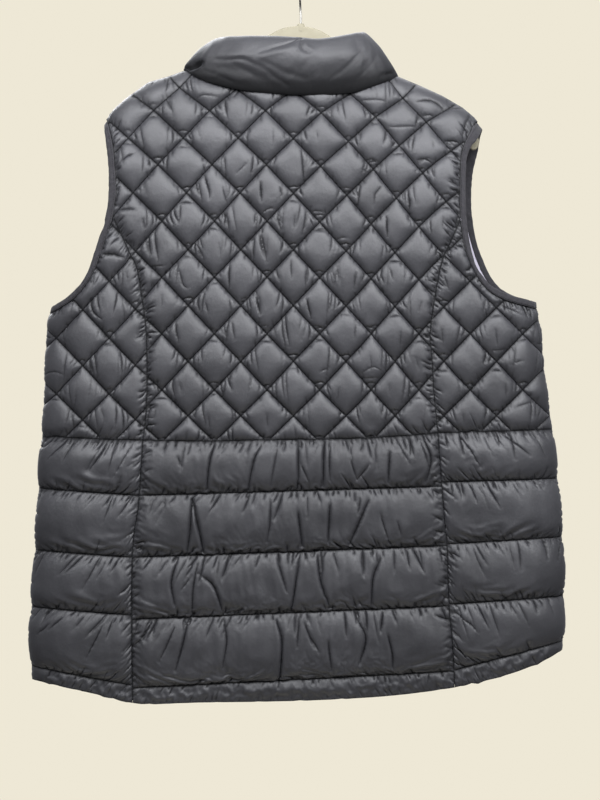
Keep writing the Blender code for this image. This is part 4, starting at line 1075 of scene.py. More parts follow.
add_panel("back_centre_upper", -1,
          [seam["neck"], seam["shoulder_right"], arm_r_top,
           seam["princess_right_upper"], rev("waist_middle"),
           rev("princess_left_upper"), arm_l_top[::-1], rev("shoulder_left")],
          "diamond", BACK_H, creases=DIAMOND_CREASES, seed=3, rests=["hanger"])
add_panel("back_side_upper_left", -1,
          [arm_l_low[::-1], seam["princess_left_upper"], rev("waist_left"),
           rev("side_left_upper")], "diamond", BACK_H,
          creases=DIAMOND_CREASES, seed=4, rests=["back_centre_upper"])
add_panel("back_side_upper_right", -1,
          [arm_r_low, seam["side_right_upper"], rev("waist_right"),
           rev("princess_right_upper")], "diamond", BACK_H,
          creases=DIAMOND_CREASES, seed=5, rests=["back_centre_upper"])
for name, seams, cols, xl, xr, seed in (
        ("back_centre_lower", [seam["waist_middle"],
                               seam["princess_right_lower"],
                               rev("hem_middle"), rev("princess_left_lower")],
         (3, 4), pl, pr, 6),
        ("back_side_lower_left", [seam["waist_left"],
                                  seam["princess_left_lower"],
                                  rev("hem_left"), rev("side_left_lower")],
         (1, 2), tube_left, pl, 7),
        ("back_side_lower_right", [seam["waist_right"],
                                   seam["side_right_lower"],
                                   rev("hem_right"),
                                   rev("princess_right_lower")],
         (5, 6), pr, tube_right, 8)):
    add_panel(name, -1, seams, "channel", BACK_H, lower_lines(cols, xl, xr),
              xl, xr, CHANNEL_CREASES, seed,
              [name.replace("lower", "upper") if seed == 6 else
               "back_side_upper_" + name.rsplit("_", 1)[1]])

for sign, tag in ((-1, "left"), (1, "right")):
    up_edge = zip_edge(sign, ZTOP, FRONT_WAIST)
    low_edge = zip_edge(sign, FRONT_WAIST, FRONT_HEM)
    neck = seam["neck_front_" + tag]
    neck[-1] = up_edge[0]
    side_up, side_low = seam["side_%s_upper" % tag], seam["side_%s_lower" % tag]
    fw = to_corner(st_path(cut_between(
        [w for w in WAIST if abs(w[0]) < 300], W_L if sign < 0 else W_R,
        np.array([zip_x(FRONT_WAIST) + sign * ZIP_HALF_GAP, FRONT_WAIST]))),
        side_up[-1], up_edge[-1])
    fh = to_corner(st_path(cut_between(
        [h for h in HEM if abs(h[0]) < 300], C_L if sign < 0 else C_R,
        np.array([zip_x(FRONT_HEM) + sign * ZIP_HALF_GAP, FRONT_HEM]))),
        side_low[-1], low_edge[-1])
    mid_edge = lambda z, sign=sign: zip_x(z) + sign * ZIP_HALF_GAP
    if sign < 0:
        xl, xr, cols = tube_left, mid_edge, (1, 3)
    else:
        xl, xr, cols = mid_edge, tube_right, (4, 6)
    add_panel("front_%s_upper" % tag, 1,
              [seam["arm_front_" + tag], side_up, fw, up_edge[::-1],
               neck[::-1], seam["shoulder_" + tag]], "diamond", FRONT_H,
              creases=cell_creases(21 + sign, -300 if sign < 0 else -12,
                                   12 if sign < 0 else 300, 1.0),
              seed=12 + sign, rests=["hanger"])
    add_panel("front_%s_lower" % tag, 1, [fw, low_edge, fh[::-1],
                                          side_low[::-1]],
              "channel", FRONT_H, lower_lines(cols, xl, xr), xl, xr,
              channel_creases(lower_lines(cols, xl, xr), xl, xr, 31 + sign),
              15 + sign, ["front_%s_upper" % tag])


def proud(s, t, z):
    """How far the shell stands off the lining along the shoulders and the
    side seams, where the padding of two panels meets."""
    half = (tube_right(z) - tube_left(z)) / 2 - SIDE_ROLL + SIDE_LEN
    edge = np.maximum(half - np.abs(s), 0)
    near_tip = 1 - 0.62 * np.clip((-s - 172) / 45.0, 0, 1)
    return (7.0 * near_tip * np.exp(-(np.maximum(t, 0) / 36.0) ** 2)
            + 2.4 * np.exp(-(edge / 26.0) ** 2) * np.clip((-z - 380) / 60, 0, 1))


def streaks(x, z, row, seed):
    """Uneven soft ups and downs across the channels, about -1..1."""
    out = np.zeros(len(x))
    for r in np.unique(row):
        m = row == r
        for k, lam in enumerate((13.0, 17.0, 24.0, 33.0, 49.0)):
            q = [hashed(seed, int(r) + 7, k, j) for j in range(4)]
            xx = x[m] + (q[0] - 0.35) * 0.45 * z[m]
            out[m] += np.sin(2 * math.pi * (xx / lam + q[1]
                                            + 0.35 * np.sin(xx / lam / 0.7
                                                            + 6 * q[2])))
    return out / 2.4


def lattice(x, z):
    """Diamond's own coordinates: across and down -1..1, and its number."""
    c, r = quilt_coords(x, z)
    a, b = (c + r) / 2, (r - c) / 2
    ia, ib = np.floor(a), np.floor(b)
    fa, fb = a - ia, b - ib
    return fa - fb, fa + fb - 1, ia.astype(int), ib.astype(int)


GATHERED = np.vstack([seam[k] for k in (
    "arm_back_left", "arm_back_right", "arm_front_left", "arm_front_right",
    "princess_left_upper", "princess_right_upper")])


def is_gathered(run):
    """Whether a seam is one that the cloth is gathered along."""
    mid = run[len(run) // 2]
    return np.min(np.linalg.norm(GATHERED - mid, axis=1)) < 2.5


def prepare(p):
    """Mesh and fields of one panel before its cloth is settled."""
    side, h = p["side"], p["h"]
    loop = np.vstack([even(r, h)[:-1] for r in p["seams"]])
    loop = inset(loop, SEAM_GAP / 2)
    if p["kind"] == "channel" and side < 0:
        # the hem sags a little as it settles, so it starts higher
        run = p["seams"][2]
        hem = np.exp(-(line_distance(run[:-1], run[1:], loop) / 4.0) ** 2)
        loop[:, 1] -= 1.3 * hem
    if p["kind"] == "diamond":
        lines, edges = quilt_lines(loop, h * 0.9)
    else:
        lines, edges = channel_lines(loop, p["lines"], p["xl"], p["xr"], h * 0.9)
    minor = []
    for j, run in enumerate(p["seams"]):
        long_way = abs(run[-1][1] - run[0][1]) > abs(run[-1][0] - run[0][0])
        if p["kind"] == "diamond" and is_gathered(run):
            minor += seam_puckers(run, p["seed"] * 31 + j, 4.6, 9.0,
                                  strength=1.35, width=1.3, tilt=0.35)
            continue
        minor += seam_puckers(run, p["seed"] * 31 + j, 7.5 if long_way else 9.0,
                              12.0 if long_way else 9.0)
    lp = point(side, loop[:, 0], loop[:, 1])
    if p["kind"] == "diamond":
        minor += to_lines(side, cell_creases(p["seed"] + 60, lp[:, 0].min(),
                                             lp[:, 0].max(), 1.0))
        major = [(w * 0.42, a, q) for w, a, q in to_lines(side, p["creases"])]
    else:
        u = np.linspace(0.01, 0.99, 160)
        for i, line in enumerate(p["lines"][:-1]):
            zz = line(u)
            xx = p["xl"](zz) + u * (p["xr"](zz) - p["xl"](zz))
            run = np.stack(to_st(xx, zz), 1)
            last = i == len(p["lines"]) - 2
            minor += seam_puckers(run, p["seed"] * 57 + i, 11.0 if last else 7.0,
                                  7.0 if last else 10.0, strength=0.95,
                                  tilt=0.38, below=1.0 if last else 2.0,
                                  bias=-0.22)
        major = [(w * 0.32, a, q) for w, a, q in to_lines(side, p["creases"])]
    st, tris, fixed, sharp = make_sheet(loop, lines, edges, h, p["seed"],
                                        major + minor)
    base = point(side, st[:, 0], st[:, 1])
    nrm = normal(side, st[:, 0], st[:, 1])
    face = np.cross(base[tris[:, 1]] - base[tris[:, 0]],
                    base[tris[:, 2]] - base[tris[:, 0]])
    if np.sum(face * nrm[tris[:, 0]]) < 0:
        tris = tris[:, ::-1].copy()
    n, k = len(st), len(loop)
    loop_tree, line_tree = near_tree(loop), near_tree(lines)
    d_loop = np.array([loop_tree.find((a, b, 0.0))[2] for a, b in st])
    d_line = np.array([line_tree.find((a, b, 0.0))[2] for a, b in st])
    pinned = np.arange(n) < fixed
    x, z = base[:, 0], base[:, 2]
    lift = proud(st[:, 0], st[:, 1], z)
    low = np.where(np.arange(n) < k, 1.0, np.where(pinned, 0.4, 0.5)) + lift
    edge_list, _ = mesh_edges(tris)
    rough = mesh_noise(edge_list, n, p["seed"], 14)
    wide = mesh_noise(edge_list, n, p["seed"] + 9, 90)
    patch = mesh_noise(edge_list, n, p["seed"] + 17, 34)
    ease = np.empty((n, 2))
    near_seam = np.exp(-(d_loop / 9.0) ** 2)
    near_line = np.exp(-(d_line / 6.0) ** 2)
    if p["kind"] == "diamond":
        u, v, ia, ib = lattice(x, z)
        wild = np.array([hashed(a + 50, b + 50, p["seed"])
                         for a, b in zip(ia, ib)])
        fa, fb = (u + v + 1) / 2, (v + 1 - u) / 2
        da = np.clip(1 - (2 * fa - 1) ** 2, 1e-3, 1)
        db = np.clip(1 - (2 * fb - 1) ** 2, 1e-3, 1)
        dome = math.sqrt(2) * (da ** -2 + db ** -2) ** -0.5
        ease[:, 0] = 0.030 + 0.015 * wild + 0.012 * near_line
        ease[:, 1] = 0.030 + 0.010 * (1 - wild) + 0.010 * near_line
        fade = np.clip(d_loop / 9.0, 0, 1) ** 0.5
        loft = 0.9 + (6.4 + 1.3 * wild) * dome ** 0.72 * (1 + 0.05 * v) * fade
        weigh = 1 + 0.15 * v
        depth = 0.5 + 0.9
    else:
        share = (x - p["xl"](z)) / (p["xr"](z) - p["xl"](z))
        v = np.zeros(n)
        row = np.zeros(n, int)
        for i, (a, b) in enumerate(zip(p["lines"], p["lines"][1:])):
            f = (a(share) - z) / (a(share) - b(share))
            m = (f >= 0) & (f <= 1)
            v[m], row[m] = 2 * f[m] - 1, i
        hem = row == len(p["lines"]) - 2
        dome = np.clip(1 - np.abs(v) ** 2.3, 0, 1) ** 0.85
        ease[:, 0] = 0.035 + 0.02 * near_line
        ease[:, 1] = np.where(hem, 0.022, 0.055 + 0.02 * near_seam)
        side_fade = np.clip(d_loop / 15.0, 0, 1) ** 0.6
        loft = np.where(hem, 2.8, 8.5) * dome * side_fade * (1 + 0.08 * v)
        loft *= 1 + np.where(hem, 0.05, 0.035 + 0.045 * (1 - v) / 2) * streaks(
            x, z, row, p["seed"])
        loft += 0.9
        weigh = 1 + 0.15 * v
    ease[:, 0] += 0.008 * rough * near_line
    loft *= 1 + 0.045 * wide + 0.022 * patch
    if p["kind"] == "diamond":
        runs = np.vstack([even(r, 2.0) for r in p["seams"] if is_gathered(r)])
        tree = near_tree(runs)
        d_gather = np.array([tree.find((a, b, 0.0))[2] for a, b in st])
        ruffle = np.exp(-(d_gather / 8.0) ** 2)
        ease[:, 1] += 0.045 * ruffle
        loft *= 1 + 0.16 * ruffle * rough
    pull, slack = crease_pull(None, st, major)
    pull2, slack2 = crease_pull(None, st, minor)
    if p["kind"] == "diamond":
        ease += 0.09 * slack + 0.08 * slack2
    else:
        ease += 0.16 * slack + 0.11 * slack2
    pull = np.maximum(pull, pull2)
    pull *= np.clip(np.minimum(d_loop, d_line) / 1.5, 0.3, 1)
    loft = np.maximum(loft - np.minimum(1.0 + 1.1 * pull, 3.0) * np.minimum(
        pull, 1.0), 0.35 * loft) + lift
    p.update(loop=loop, st=st, tris=tris, base=base, nrm=nrm, fixed=fixed,
             pinned=pinned, low=low, ease=ease, loft=loft, weigh=weigh,
             pull=pull, lines_st=lines, edges_st=edges, d_line=d_line,
             d_loop=d_loop, lift=lift, sharp=sharp)


def to_lines(side, rows):
    """Creases given by (x, z) as creases given by (s, t)."""
    out = []
    for w, a, pts in rows:
        q = np.array(pts, float)
        out.append((w, a, np.stack(to_st(q[:, 0], q[:, 1]), 1)))
    return out


PUSH = 0.10


def settle_panel(p):
    loft, weigh, lift = p["loft"] - p["lift"], p["weigh"], p["lift"]
    floor = -0.8 - 4.0 * np.minimum(p["pull"], 1)
    push = lambda height: PUSH * weigh * np.clip(
        1.1 - 1.1 * (np.maximum(height - lift, 0) / loft) ** 3, floor, 1.1)
    p["outer"] = settle(p["base"], p["nrm"], p["tris"], p["pinned"], p["ease"],
                        push, p["low"], 0.10, 280, 2, 0.93,
                        p["pull"] * PUSH * 1.2, 0.9, gravity=0.008)
    p["outer"] = smooth_once(p["outer"], p["tris"], p["pinned"], 0.12)
    # creases are pressed in, but never to the lining under them
    room = np.sum((p["outer"] - p["base"]) * p["nrm"], 1) - lift - 0.45
    p["outer"] -= p["nrm"] * np.clip(np.minimum(
        0.75 * np.minimum(p["sharp"], 1.4), room), 0, None)[:, None]
    return p["name"]


# ------------------------------------------------------------------ materials
class Nodes:
    """A small helper to write node trees."""

    def __init__(self, name):
        self.mat = bpy.data.materials.new(name)
        self.mat.use_nodes = True
        self.t = self.mat.node_tree
        self.t.nodes.clear()
        self.out = self.t.nodes.new("ShaderNodeOutputMaterial")
        self.b = self.t.nodes.new("ShaderNodeBsdfPrincipled")
        self.t.links.new(self.b.outputs[0], self.out.inputs[0])
        self.tc = self.t.nodes.new("ShaderNodeTexCoord")

    def set(self, **kw):
        for k, v in kw.items():
            self.b.inputs[k.replace("_", " ")].default_value = v

    def link(self, a, b):
        self.t.links.new(a, b)

    def noise(self, scale, detail=2.0, rough=0.5, stretch=None, coord="Object"):
        src = self.tc.outputs[coord]
        if stretch is not None:
            m = self.t.nodes.new("ShaderNodeMapping")
            m.inputs["Scale"].default_value = stretch
            self.link(src, m.inputs["Vector"])
            src = m.outputs[0]
        n = self.t.nodes.new("ShaderNodeTexNoise")
        n.inputs["Scale"].default_value = scale
        n.inputs["Detail"].default_value = detail
        n.inputs["Roughness"].default_value = rough
        self.link(src, n.inputs["Vector"])
        return n.outputs["Fac"]

    def wave(self, scale, direction="X", coord="Object", distort=0.0,
             profile="SIN", rotate=None):
        src = self.tc.outputs[coord]
        if rotate is not None:
            m = self.t.nodes.new("ShaderNodeMapping")
            m.inputs["Rotation"].default_value = rotate
            self.link(src, m.inputs["Vector"])
            src = m.outputs[0]
        w = self.t.nodes.new("ShaderNodeTexWave")
        w.bands_direction = direction
        w.wave_profile = profile
        w.inputs["Scale"].default_value = scale
        w.inputs["Distortion"].default_value = distort
        self.link(src, w.inputs["Vector"])
        return w.outputs["Fac"]

    def math(self, op, a, b):
        n = self.t.nodes.new("ShaderNodeMath")
        n.operation = op
        for i, v in enumerate((a, b)):
            if isinstance(v, (int, float)):
                n.inputs[i].default_value = v
            else:
                self.link(v, n.inputs[i])
        return n.outputs[0]

    def ramp(self, fac, stops):
        n = self.t.nodes.new("ShaderNodeValToRGB")
        e = n.color_ramp.elements
        while len(e) < len(stops):
            e.new(0.5)
        for k, (at, col) in enumerate(stops):
            e[k].position = at
            e[k].color = (*col, 1) if len(col) == 3 else col
        self.link(fac, n.inputs[0])
        return n.outputs[0]

    def span(self, fac, lo, hi, f0=0.0, f1=1.0):
        n = self.t.nodes.new("ShaderNodeMapRange")
        for k, v in zip(("From Min", "From Max", "To Min", "To Max"),
                        (f0, f1, lo, hi)):
            n.inputs[k].default_value = v
        self.link(fac, n.inputs["Value"])
        return n.outputs[0]

    def bump(self, height, dist, strength=1.0, after=None):
        n = self.t.nodes.new("ShaderNodeBump")
        n.inputs["Strength"].default_value = strength
        n.inputs["Distance"].default_value = dist
        self.link(height, n.inputs["Height"])
        if after is not None:
            self.link(after, n.inputs["Normal"])
        return n.outputs[0]

    def done(self, colour=None, rough=None, normal=None):
        if colour is not None:
            self.link(colour, self.b.inputs["Base Color"])
        if rough is not None:
            self.link(rough, self.b.inputs["Roughness"])
        if normal is not None:
            self.link(normal, self.b.inputs["Normal"])
        return self.mat


def shell_material():
    """Thin calendered nylon, with painted shade: a mask that the meshes carry
    darkens it and dulls its gloss along a stitch line and a little in a sharp crease."""
    m = Nodes("black_nylon_shell")
    broad = m.noise(14.0, 2.0)
    fine = m.noise(420.0, 3.0, 0.6)
    col = m.ramp(m.math("ADD", m.math("MULTIPLY", broad, 0.7),
                        m.math("MULTIPLY", fine, 0.3)),
                 [(0.3, (0.030, 0.030, 0.034)), (0.7, (0.052, 0.052, 0.058))])
    rough = m.span(m.noise(60.0, 3.0), 0.40, 0.52, 0.3, 0.7)
    # the mask of painted shade that the meshes carry, one value a point
    crush = m.t.nodes.new("ShaderNodeAttribute")
    crush.attribute_name = "crush"
    crush = crush.outputs["Fac"]
    # painted shade: the colour falls to near black where the mask is high
    dark = m.t.nodes.new("ShaderNodeMix")
    dark.data_type = "RGBA"
    m.link(crush, dark.inputs["Factor"])
    m.link(col, dark.inputs[6])
    dark.inputs[7].default_value = (0.003, 0.003, 0.0035, 1)
    col = dark.outputs[2]
    rough = m.math("ADD", rough, m.math("MULTIPLY", crush, 0.4))
    weave = m.math("ADD", m.wave(700.0, "X"), m.wave(700.0, "Z"))
    n1 = m.bump(weave, 0.00004, 0.5)
    n2 = m.bump(m.noise(230.0, 4.0, 0.62), 0.0005, 0.45, n1)
    n3 = m.bump(m.noise(62.0, 3.0, 0.5), 0.0012, 0.4, n2)
    # part of the gloss is a coat, which is taken off with the painted shade where the
    # mask is high
    m.link(m.math("MULTIPLY", m.math("SUBTRACT", 1.0, crush), 0.8),
           m.b.inputs["Coat Weight"])
    m.link(n3, m.b.inputs["Coat Normal"])
    m.set(Specular_IOR_Level=0.22, Coat_Roughness=0.46, Sheen_Weight=0.14,
          Sheen_Roughness=0.4, Sheen_Tint=(0.8, 0.82, 0.9, 1))
    return m.done(col, rough, n3)


def lining_material():
    m = Nodes("pale_lining")
    col = m.ramp(m.noise(30.0, 3.0), [(0.3, (0.42, 0.40, 0.47)),
                                      (0.7, (0.52, 0.49, 0.57))])
    rough = m.span(m.noise(80.0, 2.0), 0.50, 0.62, 0.3, 0.7)
    weave = m.math("ADD", m.wave(620.0, "X"), m.wave(620.0, "Z"))
    n1 = m.bump(weave, 0.00005, 0.5)
    n2 = m.bump(m.noise(110.0, 3.0), 0.0007, 0.5, n1)
    m.set(Sheen_Weight=0.2, Sheen_Roughness=0.5)
    return m.done(col, rough, n2)


def elastic_material():
    m = Nodes("armhole_elastic")
    rib = m.wave(1.0, "X", "UV")
    rib2 = m.wave(1.0, "Y", "UV")
    col = m.ramp(m.math("MULTIPLY", m.noise(300.0, 3.0), m.span(rib, 0.85, 1.1)),
                 [(0.25, (0.018, 0.017, 0.020)), (0.75, (0.042, 0.040, 0.046))])
    rough = m.span(m.noise(200.0, 2.0), 0.76, 0.9, 0.3, 0.7)
    n1 = m.bump(rib, 0.00018, 0.8)
    n2 = m.bump(rib2, 0.00008, 0.6, n1)
    n3 = m.bump(m.noise(700.0, 2.0), 0.0001, 0.5, n2)
    m.set(Sheen_Weight=0.12, Sheen_Roughness=0.6, Specular_IOR_Level=0.35)
    return m.done(col, rough, n3)


def tape_material():
    m = Nodes("zip_tape_weave")
    a = m.wave(1.0, "DIAGONAL", "UV")
    col = m.ramp(m.math("MULTIPLY", m.noise(400.0, 2.0), m.span(a, 0.8, 1.1)),
                 [(0.25, (0.014, 0.014, 0.016)), (0.75, (0.034, 0.034, 0.037))])
    rough = m.span(m.noise(150.0, 2.0), 0.7, 0.85, 0.3, 0.7)
    n1 = m.bump(a, 0.00015, 0.8)
    m.set(Sheen_Weight=0.2, Sheen_Roughness=0.6)
    return m.done(col, rough, n1)


def metal_material(name, dark, light, r0, r1):
    m = Nodes(name)
    col = m.ramp(m.noise(240.0, 3.0), [(0.3, dark), (0.7, light)])
    scratch = m.noise(500.0, 3.0, 0.6, (1.0, 1.0, 0.08))
    rough = m.span(scratch, r0, r1, 0.3, 0.7)
    n1 = m.bump(scratch, 0.00003, 0.4)
    m.set(Metallic=1.0)
    return m.done(col, rough, n1)


def plastic_material():
    m = Nodes("hanger_plastic")
    col = m.ramp(m.noise(40.0, 4.0), [(0.3, (0.25, 0.228, 0.16)),
                                      (0.7, (0.29, 0.265, 0.19))])
    rough = m.span(m.noise(300.0, 2.0), 0.5, 0.66, 0.3, 0.7)
    n1 = m.bump(m.noise(1400.0, 2.0), 0.00008, 0.6)
    m.set(Specular_IOR_Level=0.4)
    return m.done(col, rough, n1)


def thread_material():
    m = Nodes("stitch_thread")
    col = m.ramp(m.noise(900.0, 2.0), [(0.3, (0.004, 0.004, 0.005)),
                                       (0.7, (0.011, 0.011, 0.012))])
    n1 = m.bump(m.noise(2600.0, 2.0), 0.00006, 0.6)
    m.set(Roughness=0.9, Specular_IOR_Level=0.1)
    return m.done(col, None, n1)


def teeth_material():
    m = Nodes("zip_teeth")
    col = m.ramp(m.noise(500.0, 2.0), [(0.3, (0.02, 0.02, 0.022)),
                                       (0.7, (0.045, 0.045, 0.05))])
    rough = m.span(m.noise(900.0, 2.0), 0.3, 0.45, 0.3, 0.7)
    return m.done(col, rough, m.bump(m.noise(1500.0, 2.0), 0.00004, 0.5))


SHELL, LINING = shell_material(), lining_material()
ELASTIC, TAPE = elastic_material(), tape_material()
METAL = metal_material("zip_metal", (0.09, 0.09, 0.10), (0.17, 0.17, 0.18),
                       0.26, 0.42)
STEEL = metal_material("hook_steel", (0.27, 0.26, 0.24), (0.38, 0.37, 0.34),
                       0.30, 0.44)
PLASTIC, THREAD, TEETH = plastic_material(), thread_material(), teeth_material()


# -------------------------------------------------------------- object makers
def new_mesh(name, verts, faces, mats, which=None, uv=None, smooth=True,
             crush=None):
    """An object from points in mm; faces may be arrays of triangles."""
    mesh = bpy.data.meshes.new(name)
    verts = np.asarray(verts, float) * MM
    if isinstance(faces, np.ndarray):
        mesh.vertices.add(len(verts))
        mesh.vertices.foreach_set("co", verts.astype(np.float32).ravel())
        k = faces.shape[1]
        mesh.loops.add(faces.size)
        mesh.loops.foreach_set("vertex_index", faces.astype(np.int32).ravel())
        mesh.polygons.add(len(faces))
        mesh.polygons.foreach_set("loop_start", np.arange(0, faces.size, k,
                                                          dtype=np.int32))
        mesh.polygons.foreach_set("loop_total", np.full(len(faces), k,
                                                        np.int32))
        mesh.update(calc_edges=True)
        mesh.validate()
    else:
        mesh.from_pydata([tuple(v) for v in verts], [],
                         [tuple(int(i) for i in f) for f in faces])
    for mat in mats:
        mesh.materials.append(mat)
    if which is not None:
        mesh.polygons.foreach_set("material_index",
                                  np.asarray(which, np.int32))
    if uv is not None:
        layer = mesh.uv_layers.new(name="UVMap")
        idx = np.empty(len(mesh.loops), np.int32)
        mesh.loops.foreach_get("vertex_index", idx)
        layer.data.foreach_set("uv", np.asarray(uv, np.float32)[idx].ravel())
    # the mask of painted shade, one value a point, that the shell material reads
    if crush is not None:
        mesh.attributes.new("crush", "FLOAT", "POINT").data.foreach_set(
            "value", np.asarray(crush, np.float32))
    if smooth:
        mesh.shade_smooth()
    obj = bpy.data.objects.new(name, mesh)
    bpy.context.scene.collection.objects.link(obj)
    return obj


def outward(obj):
    """Turn the faces outwards, for meshes made of several closed shells."""
    bm = bmesh.new()
    bm.from_mesh(obj.data)
    bmesh.ops.recalc_face_normals(bm, faces=bm.faces)
    bm.to_mesh(obj.data)
    bm.free()
    return obj


def soften_edges(obj, width, segments=2, angle=30):
    """Bevel the sharp edges, in mm."""
    bm = bmesh.new()
    bm.from_mesh(obj.data)
    bmesh.ops.recalc_face_normals(bm, faces=bm.faces)
    sharp = [e for e in bm.edges if len(e.link_faces) == 2
             and e.calc_face_angle(0) > math.radians(angle)]
    bmesh.ops.bevel(bm, geom=sharp, offset=width * MM, segments=segments,
                    profile=0.5, affect="EDGES", clamp_overlap=True)
    bm.to_mesh(obj.data)
    bm.free()
    obj.data.shade_smooth()
    obj.data.set_sharp_from_angle(angle=math.radians(50))
    return obj


def catmull(pts, times, closed):
    """Each gap between the rows of pts split into `times` on a smooth curve."""
    p = np.asarray(pts, float)
    n = len(p)
    gaps = n if closed else n - 1
    if closed:
        get = lambda i: p[i % n]
    else:
        get = lambda i: (2 * p[0] - p[1] if i < 0 else
                         2 * p[-1] - p[-2] if i >= n else p[i])
    out = []
    for i in range(gaps):
        a, b, c, d = get(i - 1), get(i), get(i + 1), get(i + 2)
        for u in np.arange(times) / times:
            out.append(0.5 * (2 * b + (c - a) * u
                              + (2 * a - 5 * b + 4 * c - d) * u * u
                              + (3 * b - a - 3 * c + d) * u ** 3))
    if not closed:
        out.append(p[-1])
    return np.array(out)


def ring_faces(m, k, closed):
    """Triangles of a tube of m sections with k points each."""
    i = np.arange(m if closed else m - 1)
    a = (i * k)[:, None]
    b = (((i + 1) % m) * k)[:, None]
    j = np.arange(k)[None]
    j2 = (j + 1) % k
    q = np.stack(np.broadcast_arrays(a + j, a + j2, b + j2, b + j), -1)
    q = q.reshape(-1, 4)
    tri = np.vstack([q[:, [0, 1, 2]], q[:, [0, 2, 3]]])
    if not closed:
        s, e = np.arange(1, k - 1), (m - 1) * k + np.arange(1, k - 1)
        tri = np.vstack([tri,
                         np.stack([np.zeros(k - 2, int), s + 1, s], 1),
                         np.stack([np.full(k - 2, (m - 1) * k), e, e + 1], 1)])
    return tri


def volume(v, tri):
    a, b, c = v[tri[:, 0]], v[tri[:, 1]], v[tri[:, 2]]
    return float(np.sum(np.cross(a, b) * c)) / 6


def oriented(v, tri):
    v = np.asarray(v, float)
    return tri if volume(v - v.mean(0), tri) > 0 else tri[:, ::-1].copy()


def tube_uv(sections, closed, per_m):
    """Length and girth of a loft, in stripes per unit of the wave texture."""
    s = np.asarray(sections, float)
    m, k = s.shape[:2]
    mid = s.mean(1)
    run = np.concatenate(([0], np.cumsum(np.linalg.norm(np.diff(mid, axis=0),
                                                        axis=1))))
    girth = np.concatenate(([0], np.cumsum(np.linalg.norm(
        np.diff(s[m // 2], axis=0), axis=1))))
    u = np.repeat(run, k) * per_m[0]
    v = np.tile(girth, m) * per_m[1]
    return np.stack([u, v], 1)


# --------------------------------------------------------- the quilted panels
import time
T0 = time.time()
for p in PANELS:
    prepare(p)
print("meshes %.1f s" % (time.time() - T0),
      sum(len(p["st"]) for p in PANELS), "points")
T0 = time.time()
with ThreadPoolExecutor(4) as pool:
    list(pool.map(settle_panel, sorted(PANELS, key=lambda p: -len(p["st"]))))
print("cloth %.1f s" % (time.time() - T0))


def close_panel(p):
    """The settled shell, its lining and the rim between, as one closed mesh."""
    st, n, loop, side = p["st"], len(p["st"]), p["loop"], p["side"]
    nl = len(loop)
    step = 6.0
    g = hex_points(loop, step, p["seed"] + 50)
    tree = near_tree(loop)
    far = np.array([tree.find((a, b, 0.0))[2] for a, b in g])
    g, far = g[far > 0.55 * step], far[far > 0.55 * step]
    ltri = triangulate(loop, g, [])
    lst = np.vstack([loop, g])
    base = point(side, lst[:, 0], lst[:, 1])
    nrm = normal(side, lst[:, 0], lst[:, 1])
    lines = near_tree(p["lines_st"])
    d = np.array([lines.find((a, b, 0.0))[2] for a, b in lst])
    dip = -0.7 * np.clip(d / 14.0, 0, 1) ** 0.7 * np.clip(
        np.concatenate([np.zeros(nl), far]) / 10.0, 0, 1)
    dip += 0.35 * np.exp(-(d / 3.0) ** 2) * (np.arange(len(lst)) >= nl)
    inner = base + nrm * dip[:, None]
    face = np.cross(inner[ltri[:, 1]] - inner[ltri[:, 0]],
                    inner[ltri[:, 2]] - inner[ltri[:, 0]])
    if np.sum(face * nrm[ltri[:, 0]]) > 0:
        ltri = ltri[:, ::-1].copy()
    directed = {(int(f[i]), int(f[(i + 1) % 3])) for f in p["tris"]
                if min(f) < nl for i in range(3)}
    ahead = (0, 1) in directed
    i = np.arange(nl)
    j = (i + 1) % nl
    a, b = (i, j) if ahead else (j, i)
    rim = np.vstack([np.stack([b, a, n + a], 1), np.stack([b, n + a, n + b], 1)])
    faces = np.vstack([p["tris"], ltri + n, rim])
    which = np.concatenate([np.zeros(len(p["tris"])), np.ones(len(ltri)),
                            np.zeros(len(rim))])
    # painted shade along stitch lines and seams, and less in sharp creases
    line = np.maximum(np.exp(-(p["d_line"] / 1.2) ** 2),
                      0.9 * np.exp(-(p["d_loop"] / 1.0) ** 2))
    line = np.maximum(line, 0.66 * np.minimum(p["sharp"], 1.4))
    if p["name"] == "back_centre_lower":    # painted shade: its upper channels are painted darker and less glossy
        line = np.maximum(line, np.interp(-p["outer"][:, 2], (559, 640, 720),
                                          (0.19, 0.15, 0.0)))
    obj = new_mesh(p["name"] + "_cloth", np.vstack([p["outer"], inner]), faces,
                   [SHELL, LINING], which,
                   crush=np.concatenate([line, np.zeros(len(inner))]))
    # the cloth turns sharply along seams, stitch lines and strong creases
    mesh = obj.data
    ends = np.empty(2 * len(mesh.edges), np.int32)
    mesh.edges.foreach_get("vertices", ends)
    a, b = ends.reshape(-1, 2).min(1), ends.reshape(-1, 2).max(1)
    rim = (b < nl) & ((b - a == 1) | (b - a == nl - 1))
    sewn = np.sort(p["edges_st"] + nl, axis=1)
    sewn = np.isin(a.astype(np.int64) * 10000000 + b,
                   sewn[:, 0].astype(np.int64) * 10000000 + sewn[:, 1])
    fold = np.concatenate([p["sharp"], np.zeros(len(inner))])
    fold = np.minimum(fold[a], fold[b]) > 0.4
    mesh.edges.foreach_set("use_edge_sharp", rim | sewn | fold)
    return obj


for p in PANELS:
    obj = close_panel(p)
    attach(obj, "vest")
    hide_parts(p["name"])
    size = np.ptp(p["loop"], axis=0) * (1 + p["ease"].mean(0)) * MM
    q = p["loop"]
    cut = abs(0.5 * np.sum(q[:, 0] * np.roll(q[:, 1], -1)
                           - np.roll(q[:, 0], -1) * q[:, 1])) * np.prod(
        1 + p["ease"].mean(0)) * MM * MM
    size = [round(float(x), 3) for x in size]
    cut = min(round(float(cut), 5), size[0] * size[1])
    print("sheet", p["name"], size, cut)

# stitches along the quilting, all in one mesh
stitch_v, stitch_f, sewn = [], [], [0]


